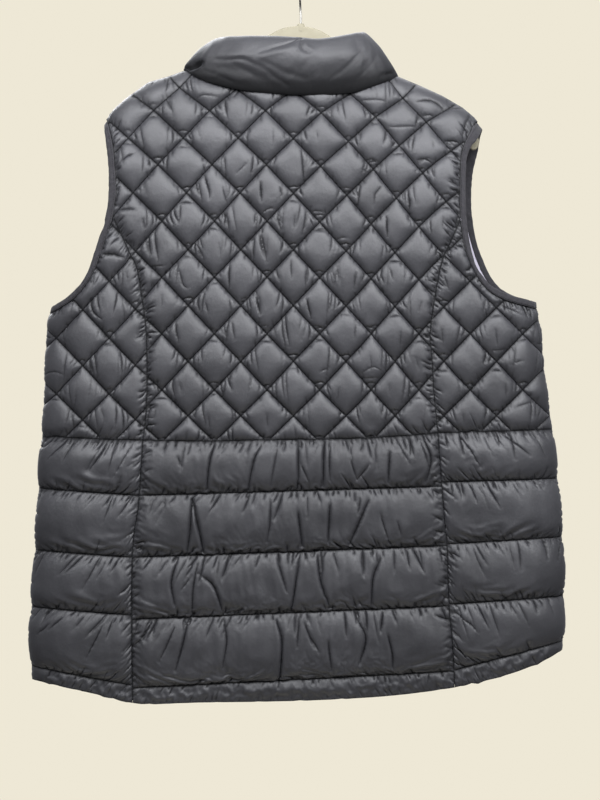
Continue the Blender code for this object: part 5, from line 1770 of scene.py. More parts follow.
def sew(path, lift, width=0.42, on=2.9, off=0.6, up=None):
    """Short threads along a line of points in mm, with a normal at each."""
    run = np.concatenate(([0], np.cumsum(np.linalg.norm(np.diff(path, axis=0),
                                                        axis=1))))
    n = int(run[-1] // (on + off))
    if n < 1:
        return
    at = np.arange(n) * (on + off) + 0.5 * off
    grab = lambda v, w: np.stack([np.interp(v, run, w[:, k])
                                  for k in range(3)], 1)
    a, m, b = (grab(at + f * on, path) for f in (0.0, 0.5, 1.0))
    nn = grab(at + 0.5 * on, up)
    nn /= np.maximum(np.linalg.norm(nn, axis=1, keepdims=True), 1e-9)
    d = b - a
    d /= np.maximum(np.linalg.norm(d, axis=1, keepdims=True), 1e-9)
    w = np.cross(d, nn)
    for i in range(n):
        base = sewn[0]
        sewn[0] += 9
        rings = []
        for c, r, h in ((a[i], 0.7, -0.2), (m[i], 1.0, 0.08), (b[i], 0.7, -0.2)):
            c = c + nn[i] * (lift + h)
            for q in (0.5, 2.6, 4.7):
                rings.append(c + (w[i] * math.cos(q) + nn[i] * math.sin(q))
                             * width * r)
        stitch_v.append(np.array(rings))
        f = []
        for s in (0, 3):
            for j in range(3):
                k = (j + 1) % 3
                f += [(s + j, s + k, s + 3 + k), (s + j, s + 3 + k, s + 3 + j)]
        f += [(2, 1, 0), (6, 7, 8)]
        stitch_f.append(np.array(f) + base)


for p in PANELS:
    k = len(p["loop"])
    chain = []
    for a, b in np.vstack([p["edges_st"], [[-1, -1]]]).tolist():
        if chain and chain[-1] == a:
            chain.append(b)
            continue
        if len(chain) > 2:
            i = np.array(chain) + k
            sew(p["outer"][i], 0.08, up=p["nrm"][i])
        chain = [a, b]



def cord(path, radius):
    """A thread run without a break, down in the gap of a seam."""
    path = np.asarray(path, float)
    d = np.gradient(path, axis=0)
    d /= np.maximum(np.linalg.norm(d, axis=1, keepdims=True), 1e-9)
    a = np.cross(d, np.array([0.3, 0.9, 0.2]))
    a /= np.maximum(np.linalg.norm(a, axis=1, keepdims=True), 1e-9)
    b = np.cross(d, a)
    q = np.arange(4) * math.pi / 2
    sec = path[:, None] + radius * (a[:, None] * np.cos(q)[None, :, None]
                                    + b[:, None] * np.sin(q)[None, :, None])
    base = sewn[0]
    sewn[0] += 4 * len(path)
    stitch_v.append(sec.reshape(-1, 3))
    stitch_f.append(ring_faces(len(path), 4, False) + base)


for key, run in seam.items():
    for side in (-1, 1):
        if "hem" in key:
            continue
        if side < 0 and "front" in key or side > 0 and not (
                "front" in key or "side" in key or "shoulder" in key):
            continue
        if side > 0 and "side" in key or "shoulder" in key and side > 0:
            continue
        fine = even(run, 2.5)
        if "lower" in key:        # it ends inside the hem
            fine = fine[:-2]
        base = point(side, fine[:, 0], fine[:, 1])
        cord(base + normal(side, fine[:, 0], fine[:, 1]) * (
            0.45 + proud(fine[:, 0], fine[:, 1], base[:, 2]))[:, None], 0.3)

# ------------------------------------------------------ the armholes' binding
BINDING_SECTION = [
    (0.0, -0.2), (0.0, 3.0), (0.45, 3.6), (1.0, 2.7), (1.0, 0.1), (0.5, -0.5),
]


# how wide it shows on each side, as a share, by the distance down from the tip
BINDING_SLIM = {
    (-1, -1): ((0, 35, 70, 103, 125, 150, 165, 180, 192),
               (.42, .54, .68, .92, 1.04, 1, .92, .84, .8)),
    (-1, 1): ((0, 30, 60, 98, 165, 200), (.85, .62, .6, .64, .84, .82)),
    (1, -1): ((0, 35, 70, 175, 192), (.42, .75, 1, 1, .85)),
    (1, 1): ((0, 30, 200), (.85, 1, 1)),
}


def wave_path(n, seed, periods, size):
    """A smooth uneven wobble over n points."""
    rng = np.random.default_rng(seed)
    t = np.arange(n) / n
    out = np.zeros(n)
    for k in periods:
        out += rng.uniform(0.4, 1) * np.sin(2 * math.pi * (k * t + rng.random()))
    return size * out / len(periods)


bindings = []
for tag, sign in (("left", -1), ("right", 1)):
    sections = []
    for side, run in ((-1, seam["arm_back_" + tag]),
                      (1, seam["arm_front_" + tag][::-1])):
        fine = even(run, 12.5)
        tang = np.gradient(fine, axis=0)
        tang /= np.linalg.norm(tang, axis=1, keepdims=True)
        out = np.stack([tang[:, 1], -tang[:, 0]], 1)
        out *= np.sign(out @ np.array([sign, -0.4]))[:, None]
        if side < 0:
            out[0], out[-1] = (sign, 0.0), (0.0, -1.0)
        else:
            out[-1], out[0] = (sign, 0.0), (0.0, -1.0)
        for i in (range(len(fine)) if side < 0 else range(1, len(fine) - 1)):
            sec = []
            slim = float(np.interp(fine[i][1], *BINDING_SLIM[side, sign]))
            # it lies under the shell's edge at the shoulder and in the pit
            tuck = 1 - (0.75 if sign < 0 else 0.35) * math.exp(
                -(fine[i][1] / 14.0) ** 2)
            tuck *= 1 - 0.5 * math.exp(-(np.linalg.norm(
                fine[i] - (pit_l if sign < 0 else pit_r)) / 14.0) ** 2)
            for share, height in BINDING_SECTION:
                q = fine[i] + out[i] * (SEAM_GAP + share * BINDING_WIDTH * slim)
                at = point(side, q[0], q[1])
                sec.append(at + normal(side, q[0], q[1]) * tuck * (
                    height + float(proud(q[0], q[1], at[2]))))
            sections.append(sec)
    sec = catmull(sections, 10, True)
    sec = np.stack([catmull(s, 4, True) for s in sec])
    m, k = sec.shape[:2]
    # gathered by the elastic: the edge waves a little and the face ripples
    mid = sec.mean(1, keepdims=True)
    t = np.arange(m) / m
    swell = 1 + wave_path(m, 5 + sign, (23, 37, 51, 64), 0.07)
    sec = mid + (sec - mid) * swell[:, None, None]
    sec += np.array([0, 1.0, 0]) * wave_path(m, 9 + sign, (17, 29, 43),
                                             0.35)[:, None, None]
    verts = sec.reshape(-1, 3)
    uv = tube_uv(sec, True, (0.314 / 1.5, 0.314 / 1.1))
    obj = new_mesh("armhole_binding_%s_cloth" % tag, verts,
                   oriented(verts, ring_faces(m, k, True)), [ELASTIC], uv=uv)
    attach(obj, "vest")
    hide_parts("armhole_binding_" + tag)
    bindings.append((obj, sec))
    # its top stitching, outside, a little in from the seam
    face = np.array(BINDING_SECTION)
    row = int(4 * 1.55)
    nn = sec[:, 6] - mid[:, 0]
    edge = np.vstack([sec[:, row], sec[:1, row]])
    side_n = np.cross(np.gradient(edge, axis=0),
                      np.vstack([sec[:, row + 3], sec[:1, row + 3]])
                      - np.vstack([sec[:, row - 3], sec[:1, row - 3]]))
    side_n /= np.maximum(np.linalg.norm(side_n, axis=1, keepdims=True), 1e-9)
    away = edge - np.vstack([mid[:, 0], mid[:1, 0]])
    side_n *= np.sign(np.sum(side_n * away, 1))[:, None]
    sew(edge, 0.12, width=0.2, on=2.0, off=0.9, up=side_n)

# --------------------------------------------------------------- the collar
COLLAR_TOP = [  # 0 left zip edge, 1 and 2 the shoulders, 3 right zip edge
    (0.00, -9.8, 29, -149), (0.35, -38, 26, -140), (0.65, -62, 20, -122),
    (0.86, -80, 10, -101), (1.00, -88, 0, -88), (1.10, -84, -9, -86),
    (1.25, -62, -16, -85.4), (1.42, -28, -21, -86), (1.55, 3, -21, -88),
    (1.61, 19, -21, -89.6), (1.68, 34, -20, -88.2), (1.78, 53, -16, -84.4),
    (1.92, 69, -9, -80.6), (2.00, 75.5, 0, -80),
    (2.14, 66, 10, -98), (2.35, 52, 20, -120), (2.65, 26, 26, -139),
    (3.00, -8.2, 29, -149),
]
COLLAR_SECTION = [
    (0.000, 0.2), (0.000, 2.8), (-0.080, 5.2), (-0.065, 8.6), (0.06, 12.2),
    (0.26, 16.0), (0.48, 18.8), (0.66, 18.0), (0.82, 14.4), (0.945, 9.2),
    (1.00, 2.6), (0.97, -1.5), (0.78, -3.2), (0.40, -3.6), (0.12, -2.2),
]
COLLAR_FAT = [(0.0, 0.8), (0.8, 0.85), (1.0, 0.62), (1.22, 1.0), (1.78, 1.0),
              (2.0, 0.34), (2.2, 0.8), (3.0, 0.8)]
# how far its roll hangs over the neck seam, as a share of the usual
COLLAR_OVER = [(0.0, 0.9), (0.85, 0.9), (1.0, 0.8), (1.2, 0.95), (1.5, 1.5),
               (1.7, 1.85), (1.8, 1.6), (1.9, 0.9), (2.0, 0.7), (2.15, 0.9),
               (3.0, 0.9)]
# width, depth in (-) or out (+), points (x, z), on the side seen from behind
COLLAR_FOLDS = [
    (1.8, -2.4, [(-102, -114), (-89, -115.5), (-71, -114.6), (-58, -119),
                 (-41, -127.5), (-30, -137), (-16, -145)]),
    (7.0, -2.0, [(-104, -123), (-86, -126), (-66, -129), (-48, -138),
                 (-30, -147)]),
    (4.0, 0.5, [(-98, -108), (-72, -108), (-54, -112), (-38, -120)]),
    (1.5, -1.3, [(-84, -118), (-67, -127.5), (-52, -136)]),
    (1.6, -1.2, [(-114, -128), (-98, -134), (-80, -142)]),
    (1.4, -1.8, [(2, -88), (-15, -96), (-34, -101.5), (-49, -106)]),
    (3.0, 0.8, [(-4, -99), (-25, -106), (-50, -113)]),
    (1.5, -2.2, [(2, -87.5), (0.7, -96), (3, -102), (12, -107.5)]),
    (1.6, 1.2, [(5.5, -91), (7.5, -98.5), (15, -104)]),
    (1.5, 0.7, [(-1, -101), (-1.6, -112)]),
    (1.9, -1.0, [(75, -103), (64, -115.5), (53, -126.5), (36, -139)]),
    (3.0, 0.6, [(84, -106), (74, -118), (62, -129)]),
    (1.6, -0.7, [(92, -108), (84, -122), (70, -136)]),
    (1.5, -0.9, [(-24, -139), (-14, -148)]),
    (1.6, -0.7, [(13, -134), (14, -150)]),
    (2.0, -2.8, [(97, -133), (106, -130), (115, -127)]),
    (2.6, -1.6, [(-54, -113), (-36, -122), (-14, -132), (6, -138)]),
]
COLLAR_FRONT_FOLDS = [
    (1.8, -2.0, [(-112, -140), (-96, -152), (-78, -160), (-58, -163)]),
    (4.0, -1.0, [(-100, -132), (-84, -146), (-62, -154)]),
    (1.5, -1.6, [(-84, -172), (-66, -180), (-48, -178)]),
    (1.6, -1.4, [(-52, -158), (-38, -172), (-30, -188)]),
    (1.4, -1.2, [(-28, -160), (-24, -176)]),
    (1.4, -1.3, [(14, -162), (18, -178), (30, -190)]),
    (1.8, -1.9, [(40, -150), (56, -160), (76, -162)]),
    (1.6, -1.4, [(96, -132), (84, -150), (66, -168)]),
    (1.5, -1.2, [(90, -160), (76, -174), (60, -182)]),
]
COLLAR_NOTCH = [(3.0, -6.0, [(-139, -125), (-128, -122.5), (-119, -119)]),
                (2.6, -5.0, [(-130, -120), (-119, -116.5)])]
neck_runs, share = [], []
for part, (side, run) in enumerate(((1, seam["neck_front_left"][::-1]),
                                    (-1, seam["neck"]),
                                    (1, seam["neck_front_right"]))):
    fine = even(run, 14.0)
    far = np.concatenate(([0], np.cumsum(np.linalg.norm(
        np.diff(fine, axis=0), axis=1))))
    tang = np.gradient(fine, axis=0)
    tang /= np.linalg.norm(tang, axis=1, keepdims=True)
    out = np.stack([tang[:, 1], -tang[:, 0]], 1)
    out *= np.where(out @ np.array([0, -1.0]) < 0, -1, 1)[:, None]
    for i in range(len(fine)):
        if neck_runs and i == 0:
            continue
        o = out[i]
        if (side > 0 and (i == 0 or i == len(fine) - 1)
                and abs(fine[i][1]) > 60):
            o = np.array([0.0, -1.0])
        if abs(fine[i][1]) < 1.0:
            o = np.array([0.6 if fine[i][0] < 0 else -0.6, -0.8])
        q = fine[i] + o * (SEAM_GAP / 2 + 0.6)
        share.append(part + far[i] / far[-1])
        at, up = point(side, q[0], q[1]), normal(side, q[0], q[1])
        neck_runs.append((at + up * float(proud(q[0], q[1], at[2])), up))
foot = np.array([a for a, _ in neck_runs])
foot_n = np.array([b for _, b in neck_runs])
foot[0, 0] = float(zip_x(foot[0, 2])) - 0.8     # its ends meet over the zip
foot[-1, 0] = float(zip_x(foot[-1, 2])) + 0.8
share = np.array(share)
top_tab = np.array(COLLAR_TOP, float)
top = np.stack([np.interp(share, top_tab[:, 0], top_tab[:, k])
                for k in (1, 2, 3)], 1)
sections = []
for i in range(len(foot)):
    a, b = foot[max(i - 1, 0)], foot[min(i + 1, len(foot) - 1)]
    c, d = top[max(i - 1, 0)], top[min(i + 1, len(foot) - 1)]
    rise = top[i] - foot[i]
    n = np.cross(rise, (b - a) + (d - c))
    n /= np.linalg.norm(n)
    if n @ foot_n[i] < 0:
        n = -n
    ends = min(1.0, 0.45 + 0.55 * min(share[i], 3 - share[i]) / 0.15)
    ends *= float(np.interp(share[i], *np.array(COLLAR_FAT).T))
    over = float(np.interp(share[i], *np.array(COLLAR_OVER).T))
    sec = []
    for v, h in COLLAR_SECTION:
        v *= over if v < 0 else 1.0
        blend = min(1.0, max(v, 0.0) / 0.12)
        nn = foot_n[i] * (1 - blend) + n * blend
        nn /= np.linalg.norm(nn)
        hh = h if abs(h) < 3.0 and v < 0.05 else h * ends
        sec.append(foot[i] + rise * v + nn * hh)
    sections.append(sec)
AROUND = 7
sec = catmull(sections, 9, False)
sec = np.stack([catmull(s, AROUND, True) for s in sec])
m, k = sec.shape[:2]
verts = sec.reshape(-1, 3)
tris = oriented(verts, ring_faces(m, k, False))
place = np.tile(np.arange(k) / AROUND, m)          # which point of the section
ring = np.repeat(np.arange(m), k)
vn = np.zeros_like(verts)
fn = np.cross(verts[tris[:, 1]] - verts[tris[:, 0]],
              verts[tris[:, 2]] - verts[tris[:, 0]])
for c in range(3):
    np.add.at(vn, tris[:, c], fn)
vn /= np.maximum(np.linalg.norm(vn, axis=1, keepdims=True), 1e-9)
pinned = (place <= 1.2) | (place >= 11.4) | (ring == 0) | (ring == m - 1)
free = np.clip((place - 1.2) / 1.5, 0, 1) * np.clip((11.4 - place) / 1.5, 0, 1)


def fold_depth(verts, vn, folds, reach=1.0, facing=-0.1):
    """Depth of the placed folds at each point facing backwards."""
    total = np.zeros(len(verts))
    xz = verts[:, [0, 2]]
    for width, depth, pts in folds:
        line = smooth_path(np.array(pts, float), 1.5) if len(pts) > 2 else even(
            np.array(pts, float), 1.5)
        d = np.linalg.norm(xz[:, None] - line[None], axis=2)
        near = np.argmin(d, 1)
        along = near / max(len(line) - 1, 1)
        fade = np.clip(np.minimum(along + 0.3, 1.3 - along) * 1.8, 0, 1)
        total += depth * fade * np.exp(-(d.min(1) / (reach * width)) ** 2)
    return total * np.clip((facing - vn[:, 1]) / 0.3, 0, 1)


depth = fold_depth(verts, vn, COLLAR_FOLDS)
depth += fold_depth(verts, vn * np.array([1.0, -1.0, 1.0]), COLLAR_FRONT_FOLDS)
notch = fold_depth(verts, vn, COLLAR_NOTCH, facing=0.3)
depth += notch
low = np.where(pinned, 0.0, -1.5 * free)
ease = np.stack([np.full(len(verts), 0.008), np.full(len(verts), 0.008)], 1)
soft = settle(verts, vn, tris, pinned, ease,
              lambda height: PUSH * np.clip(1 - ((height + 2.6) / 3.4) ** 3,
                                            -0.8, 1.0),
              low, 0.35, 160, 2, 0.93,
              np.maximum(-depth, 0) * 0.01, 0.3, gravity=0.006)
soft = verts + 0.22 * (soft - verts) + vn * (depth * free)[:, None]
for _ in range(2):
    soft = smooth_once(soft, tris, pinned, 0.5)
# painted shade: darker towards the foot of the collar, under its roll against the
# neck seam
under = np.interp(place, [1.0, 2.0, 3.0, 4.0, 5.0, 6.0, 7.0, 8.5],
                  [1.0, 1.0, 1.0, 0.90, 0.63, 0.38, 0.18, 0.0])
# painted shade in the notches at the collar's ends
hole = np.clip(fold_depth(verts, vn, [
    (4.8, 2.2, [(-139, -124.5), (-128, -121), (-119, -118)]),
    (3.4, 1.6, [(-124, -118.5), (-117, -117.5)]),
    (2.6, 2.2, [(102, -132), (109, -128), (117.5, -132)])], facing=0.8)
    - 0.35, 0, 1)
# painted shade in the deeper folds of the collar
crease = np.clip((-depth - 1.0) / 2.5, 0, 0.5) * (depth > -4)
collar = new_mesh("collar_cloth", soft, tris, [SHELL],
                  crush=np.maximum(np.maximum(under, hole), crease))
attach(collar, "vest")
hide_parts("collar")

# ------------------------------------------------------------------- the zip
TAPE_WIDTH, TAPE_WALL = 7.9, 1.2
for tag, sign in (("left", -1), ("right", 1)):
    # its outer edge goes in under the front panel's turned edge
    profile = [(0.8, 0.5), (0.8, 0.9), (0.9, 1.5), (1.6, 1.7), (4.0, 1.55),
               (6.4, 1.7), (7.4, 1.7), (8.7, 1.35), (8.72, -0.28),
               (10.2, -0.38), (10.4, -0.56), (10.2, -0.76), (8.3, -0.70),
               (7.7, 0.3), (7.2, 0.5), (4.0, 0.5)]
    zs = np.linspace(ZTOP - 0.5, -881.0, 330)
    sec = np.array([[(zip_x(z) + sign * a,
                      float(tube_front(z)) + b
                      + 0.10 * math.sin(z * 0.31 + a * 0.4), z)
                     for a, b in profile] for z in zs])
    verts = sec.reshape(-1, 3)
    uv = tube_uv(sec, False, (0.314 / 1.2, 0.314 / 0.9))
    obj = new_mesh("zip_tape_%s_cloth" % tag, verts,
                   oriented(verts, ring_faces(len(zs), len(profile), False)),
                   [TAPE], uv=uv)
    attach(obj, "vest")
    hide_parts("zip_tape_" + tag)
    path = np.array([(zip_x(z) + sign * 6.6, float(tube_front(z)) + 1.72, z)
                     for z in zs])
    sew(path, 0.08, width=0.2, on=2.2, off=0.9,
        up=np.tile([[0, 1.0, 0]], (len(path), 1)))

# teeth: moulded blocks that reach over the middle from each side in turn
tooth = [(-1.7, -0.60), (-0.2, -0.95), (1.15, -0.85), (1.55, 0.0),
         (1.15, 0.85), (-0.2, 0.95), (-1.7, 0.60)]
verts, faces = [], []
z, k = ZTOP - 2.0, 0
while z > -877.0:
    sign = -1 if k % 2 else 1
    y0 = float(tube_front(z)) + 0.5 + TAPE_WALL / 2
    base = len(verts)
    for y, scale in ((-0.92, 0.8), (-0.6, 1.0), (0.6, 1.0), (0.92, 0.8)):
        for a, b in tooth:
            verts.append((float(zip_x(z)) - sign * (a * scale - 0.15), y0 + y,
                          z + b * scale))
    nt = len(tooth)
    for r in range(3):
        for i in range(nt):
            j = (i + 1) % nt
            faces.append((base + r * nt + i, base + r * nt + j,
                          base + (r + 1) * nt + j, base + (r + 1) * nt + i))
    faces.append(tuple(base + i for i in range(nt))[::-1])
    faces.append(tuple(base + 3 * nt + i for i in range(nt)))
    z -= 1.45
    k += 1
teeth = outward(new_mesh("zip_teeth", verts, faces, [TEETH], smooth=False))
teeth.data.shade_smooth()
teeth.data.set_sharp_from_angle(angle=math.radians(35))
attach(teeth, "vest")

# slider: two plates, a wedge between them and a bridge for the tab
SLIDER_Z = -224.0
sx = float(zip_x(SLIDER_Z))
sy = float(tube_front(SLIDER_Z)) + 0.5 + TAPE_WALL / 2
gap = TAPE_WALL / 2 + 0.5
PIN_Y = sy + gap + 1.6 + 1.6
PIN_Z = SLIDER_Z + 0.5


def plate(outline, y0, y1):
    n = len(outline)
    v = [(a, y, b) for y in (y0, y1) for a, b in outline]
    f = [tuple(range(n)), tuple(range(2 * n - 1, n - 1, -1))]
    f += [(i, (i + 1) % n, n + (i + 1) % n, n + i) for i in range(n)]
    return v, f


def joined(parts):
    v, f = [], []
    for a, b in parts:
        k = len(v)
        v += list(a)
        f += [tuple(k + i for i in q) for q in b]
    return v, f


shield = [(-4.6, 6.0), (-3.6, 6.5), (3.6, 6.5), (4.6, 6.0), (4.5, 1.0),
          (3.3, -5.6), (2.6, -6.5), (-2.6, -6.5), (-3.3, -5.6), (-4.5, 1.0)]
shield_back = [(a * 0.94, b) for a, b in shield]
wedge = [(-0.7, 6.2), (0.7, 6.2), (0.5, 1.5), (0, 0.2), (-0.5, 1.5)]
shift = lambda o: [(sx + a, SLIDER_Z + b) for a, b in o]
parts = [plate(shift(shield), sy + gap, sy + gap + 1.6),
         plate(shift(shield_back), sy - gap - 1.3, sy - gap),
         plate(shift(wedge), sy - gap - 0.4, sy + gap + 0.4)]
for s in (-1, 1):   # side flanges
    parts.append(plate(shift([(s * 3.7, 5.6), (s * 4.5, 5.6), (s * 4.4, 1.0),
                              (s * 3.3, -5.4), (s * 2.7, -5.4),
                              (s * 3.6, 1.0)]), sy + gap - 0.45, sy + gap + 0.3))
bow = [(-4.6, -1.9), (-4.6, 1.6), (-4.2, 2.6), (-3.2, 3.0), (3.2, 3.0),
       (4.2, 2.6), (4.6, 1.6), (4.6, -1.9), (3.2, -1.9), (3.1, 1.1),
       (2.7, 1.6), (-2.7, 1.6), (-3.1, 1.1), (-3.2, -1.9)]
n = len(bow)
v = [(sx + x, PIN_Y + b, PIN_Z + a) for x in (-0.8, 0.8) for a, b in bow]
f = [tuple(range(n)), tuple(range(2 * n - 1, n - 1, -1))]
f += [(i, (i + 1) % n, n + (i + 1) % n, n + i) for i in range(n)]
parts.append((v, f))
slider = soften_edges(new_mesh("zip_slider_metal", *joined(parts), [METAL]),
                      0.22)
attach(slider, "vest")
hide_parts("zip_slider")

# pull tab: an eye round the bridge, a waisted plate with a pressed edge
half = [(0, 1.0), (2.6, 1.0), (3.5, 0.6), (3.8, -0.4), (3.8, -7.0),
        (3.9, -9.5), (4.3, -13.0), (4.6, -20.0), (4.6, -27.6), (4.1, -29.8),
        (3.0, -31.0), (0, -31.0)]
tab_line = half + [(-a, b) for a, b in half[-2:0:-1]]
eye = [(-1.6, -0.9), (1.6, -0.9), (2.2, -1.4), (2.2, -5.9), (1.6, -6.4),
       (-1.6, -6.4), (-2.2, -5.9), (-2.2, -1.4)]
slot = [(-1.5, -24.5), (-1.1, -25.5), (1.1, -25.5), (1.5, -24.5),
        (1.5, -13.5), (1.1, -12.5), (-1.1, -12.5), (-1.5, -13.5)]
allp = tab_line + eye
cons = [(i, (i + 1) % len(tab_line)) for i in range(len(tab_line))]
cons += [(len(tab_line) + i, len(tab_line) + (i + 1) % len(eye))
         for i in range(len(eye))]
vs, _, fs, _, _, _ = delaunay_2d_cdt([Vector(q) for q in allp], cons, [],
                                     1, 1e-5, False)
keep = []
for t3 in fs:
    c = np.mean([tuple(vs[i]) for i in t3], axis=0)[None]
    if inside(np.array(tab_line), c)[0] and not inside(np.array(eye), c)[0]:
        keep.append(tuple(t3))
k = len(allp)
v = [(sx + a, PIN_Y + h, PIN_Z + b) for h in (-0.75, 0.75) for a, b in allp]
f = keep + [tuple(k + i for i in reversed(q)) for q in keep]
no, ne = len(tab_line), len(eye)
f += [(i, (i + 1) % no, k + (i + 1) % no, k + i) for i in range(no)]
f += [(no + (i + 1) % ne, no + i, k + no + i, k + no + (i + 1) % ne)
      for i in range(ne)]
parts = [(v, f)]
for y0, y1 in ((0.70, 0.98), (-0.98, -0.70)):   # raised pad on each face
    parts.append(plate([(sx + a * 1.0, PIN_Z + b) for a, b in
                        [(-3.0, -27.2), (-2.2, -28.6), (2.2, -28.6),
                         (3.0, -27.2), (2.8, -14.0), (2.2, -11.2),
                         (-2.2, -11.2), (-2.8, -14.0)]],
                       PIN_Y + y0, PIN_Y + y1))
    for r in range(5):
        zc = -15.0 - 2.6 * r
        parts.append(plate([(sx - 1.9, PIN_Z + zc), (sx + 1.9, PIN_Z + zc),
                            (sx + 1.9, PIN_Z + zc - 0.9),
                            (sx - 1.9, PIN_Z + zc - 0.9)],
                           PIN_Y + y0 + (0.2 if y0 > 0 else -0.2),
                           PIN_Y + y1 + (0.2 if y0 > 0 else -0.2)))
tab = soften_edges(new_mesh("zip_pull_tab_metal", *joined(parts), [METAL]), 0.2)
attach(tab, "pull_tab")
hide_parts("zip_pull_tab")

# ------------------------------------------------------------ hanger and hook
HANGER_WALL, WIRE, HOOK_RADIUS = 5.0, 2.5, 19.0
HANGER_DROP = [
    (0, 0), (20, 3.3), (38, 12), (60, 26), (90, 46), (119, 66), (133, 73),
    (155, 81), (180, 91), (205, 107), (216, 116)]
DROP_LOW = [(0, 34), (30, 36), (50, 41), (75, 52), (100, 69), (119, 83),
            (133, 89), (155, 96), (180, 106), (200, 119), (207, 128)]
th = math.radians(HANGER_TILT)


def hanger_xz(u, d):
    v = d + 5.0 - 2.6 * math.exp(-(u / 70.0) ** 2)
    return (u * math.cos(th) - v * math.sin(th) + 1.0,
            -v * math.cos(th) - u * math.sin(th) + STEM_FOOT)


half_top = smooth_path(HANGER_DROP, 4.0)
half_low = smooth_path(DROP_LOW, 4.0)
tip = smooth_path([half_top[-1], (220, 123), (221, 131), (217.5, 137.5),
                   (211.5, 137.5), half_low[-1]], 2.0)[1:-1]
right = np.vstack([half_top, tip, half_low[::-1]])
left = np.array([(-a, b) for a, b in right[::-1] if a > 0.01])
outline = np.array([hanger_xz(a, b) for a, b in np.vstack([right, left])])
n = len(outline)
W = HANGER_WALL / 2
rings = [(-W, 1.7), (-W + 0.12, 1.05), (-W + 0.5, 0.5), (-W + 1.05, 0.12),
         (-W + 1.7, 0.0), (W - 1.7, 0.0), (W - 1.05, 0.12), (W - 0.5, 0.5),
         (W - 0.12, 1.05), (W, 1.7)]
verts, faces = [], []
for y, by in rings:
    line = inset(outline, by) if by else outline
    verts += [(a, y, b) for a, b in line]
for r in range(len(rings) - 1):
    for i in range(n):
        j = (i + 1) % n
        faces.append((r * n + i, r * n + j, (r + 1) * n + j, (r + 1) * n + i))
cap = triangulate(inset(outline, 1.7), np.zeros((0, 2)), [])
faces += [tuple(int(i) for i in q) for q in cap]
faces += [tuple(int((len(rings) - 1) * n + i) for i in q[::-1]) for q in cap]
# the socket that the wire stands in
sec = []
for zz, rad in ((-78.0, 4.9), (-74.0, 4.8), (-70.3, 4.5), (-69.2, 3.7),
                (-68.7, 2.4), (-68.7, 1.35)):
    sec.append([(1.0 + rad * math.cos(a), rad * 0.62 * math.sin(a), zz)
                for a in np.linspace(0, 2 * math.pi, 24, endpoint=False)])
base = len(verts)
verts += [q for s in sec for q in s]
faces += [tuple(int(base + i) for i in q) for q in ring_faces(len(sec), 24,
                                                              False)]
hanger = new_mesh("hanger_body", verts, faces, [PLASTIC])
outward(hanger)
hanger.data.set_sharp_from_angle(angle=math.radians(50))
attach(hanger, "vest")
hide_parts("hanger")

r0 = HOOK_RADIUS + WIRE / 2
_, foot_z = hanger_xz(0, 0)
path = [(1.0, 0.0, foot_z + 0.35), (1.0, 0.0, -60.0), (0.6, 0.0, -52.0),
        (0.2, -1.6, -45.5), (0.0, -5.5, -40.6)]
for a in range(-60, 206, 15):
    ang = math.radians(a)
    path.append((0.0, -r0 * math.cos(ang), -HOOK_RADIUS + r0 * math.sin(ang)))
curve = smooth_path(path, 1.4)
tang = np.gradient(curve, axis=0)
tang /= np.linalg.norm(tang, axis=1, keepdims=True)
ux = np.array([1.0, 0, 0]) - tang * tang[:, :1]
ux /= np.linalg.norm(ux, axis=1, keepdims=True)
wx = np.cross(tang, ux)
q = np.linspace(0, 2 * math.pi, 20, endpoint=False)
rad = np.full(len(curve), WIRE / 2)
rad[-3:] = WIRE / 2 * np.array([0.93, 0.72, 0.35])
sec = curve[:, None] + (ux[:, None] * np.cos(q)[None, :, None]
                        + wx[:, None] * np.sin(q)[None, :, None]) * rad[
                            :, None, None]
verts = sec.reshape(-1, 3)
hook = new_mesh("hook_wire", verts, oriented(verts, ring_faces(
    len(curve), 20, False)), [STEEL])
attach(hook, "vest")
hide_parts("hook")

# all the sewing thread
v = np.vstack(stitch_v)
stitches = new_mesh("stitching", v, np.vstack(stitch_f), [THREAD])
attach(stitches, "vest")

# ------------------------------------------------- floor, light and camera
bm = bmesh.new()
bmesh.ops.create_circle(bm, cap_ends=True, segments=96, radius=0.9)
mesh = bpy.data.meshes.new("studio_floor")
bm.to_mesh(mesh)
bm.free()
floor = bpy.data.objects.new("studio_floor", mesh)
floor.location = (0, 0, -1.7)
bpy.context.scene.collection.objects.link(floor)
fl = Nodes("studio_floor")
col = fl.ramp(fl.noise(3.0, 2.0), [(0.3, (0.80, 0.76, 0.66)),
                                   (0.7, (0.84, 0.80, 0.70))])
fl.set(Roughness=0.7)
mesh.materials.append(fl.done(col, None, fl.bump(fl.noise(40.0), 0.001, 0.2)))

scene = bpy.context.scene
scene.view_settings.view_transform = "Standard"
world = bpy.data.worlds.new("studio")
scene.world = world
world.use_nodes = True
wt = world.node_tree
wt.nodes.clear()
wo = wt.nodes.new("ShaderNodeOutputWorld")
mix = wt.nodes.new("ShaderNodeMixShader")
seen = wt.nodes.new("ShaderNodeBackground")
seen.inputs["Color"].default_value = (0.855, 0.805, 0.672, 1)
dome = wt.nodes.new("ShaderNodeBackground")
dome.inputs["Strength"].default_value = 0.50
tc = wt.nodes.new("ShaderNodeTexCoord")
sep = wt.nodes.new("ShaderNodeSeparateXYZ")
grade = wt.nodes.new("ShaderNodeMapRange")
grade.inputs["From Min"].default_value = -1.0
ramp = wt.nodes.new("ShaderNodeValToRGB")
for at, c in ((0.0, (0.03, 0.03, 0.03)), (0.46, (0.21, 0.21, 0.22)),
              (0.72, (0.95, 0.96, 1.0)), (1.0, (1.05, 1.07, 1.13))):
    e = (ramp.color_ramp.elements[0] if at == 0.0 else
         ramp.color_ramp.elements[-1] if at == 1.0 else
         ramp.color_ramp.elements.new(at))
    e.position, e.color = at, (*c, 1)
path_node = wt.nodes.new("ShaderNodeLightPath")
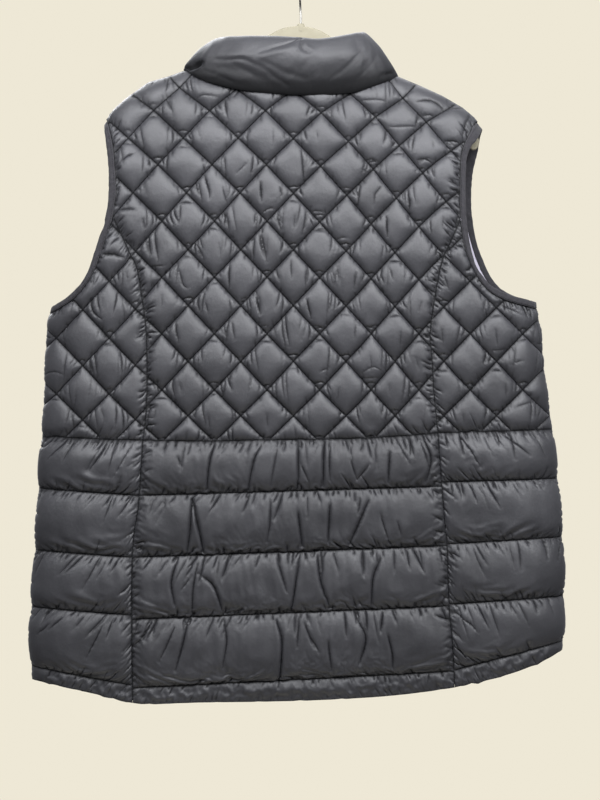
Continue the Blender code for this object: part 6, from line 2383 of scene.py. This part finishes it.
wt.links.new(tc.outputs["Generated"], sep.inputs[0])
wt.links.new(sep.outputs["Z"], grade.inputs["Value"])
wt.links.new(grade.outputs[0], ramp.inputs[0])
wt.links.new(ramp.outputs[0], dome.inputs["Color"])
wt.links.new(path_node.outputs["Is Camera Ray"], mix.inputs[0])
wt.links.new(dome.outputs[0], mix.inputs[1])
wt.links.new(seen.outputs[0], mix.inputs[2])
wt.links.new(mix.outputs[0], wo.inputs[0])


def soft_light(name, at, aim, size, power, colour=(1, 1, 1)):
    lamp = bpy.data.lights.new(name, "AREA")
    lamp.shape = "RECTANGLE"
    lamp.size, lamp.size_y = size
    lamp.energy = power
    lamp.color = colour
    obj = bpy.data.objects.new(name, lamp)
    obj.location = at
    obj.rotation_euler = (Vector(aim) - Vector(at)).to_track_quat(
        "-Z", "Y").to_euler()
    scene.collection.objects.link(obj)
    return obj


soft_light("top_back", (0.03, -0.70, 0.24), (0, 0, -0.25), (1.7, 0.6), 22.7,
           (0.96, 0.97, 1.0))
soft_light("key", (1.2, -1.7, 0.5), (0, 0, -0.5), (1.2, 1.2), 12,
           (0.96, 0.98, 1.0))
soft_light("top_front", (-0.25, 1.0, 0.75), (0, 0, -0.25), (1.5, 0.9), 10,
           (0.97, 0.98, 1.0))
soft_light("front", (-0.9, 2.0, 0.5), (0, 0, -0.5), (1.2, 1.2), 22,
           (0.96, 0.98, 1.0))

CAMERA_Y, SHOWN_Y = 4.0, -0.012      # how far back, and the plane in true size
cam = bpy.data.cameras.new("camera")
cam.sensor_width = 36.0
cam.lens = 36.0 * CAMERA_Y / 0.9624
camera = bpy.data.objects.new("camera", cam)
camera.location = (0.0, SHOWN_Y - CAMERA_Y, -0.5229)
camera.rotation_euler = (math.radians(90), 0, 0)
scene.collection.objects.link(camera)
scene.camera = camera

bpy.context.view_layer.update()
for obj in bpy.data.objects:
    if obj.type == "MESH" and len(obj.data.polygons) > 20000:
        print("faces", obj.name, sum(len(f.vertices) - 2
                                     for f in obj.data.polygons))
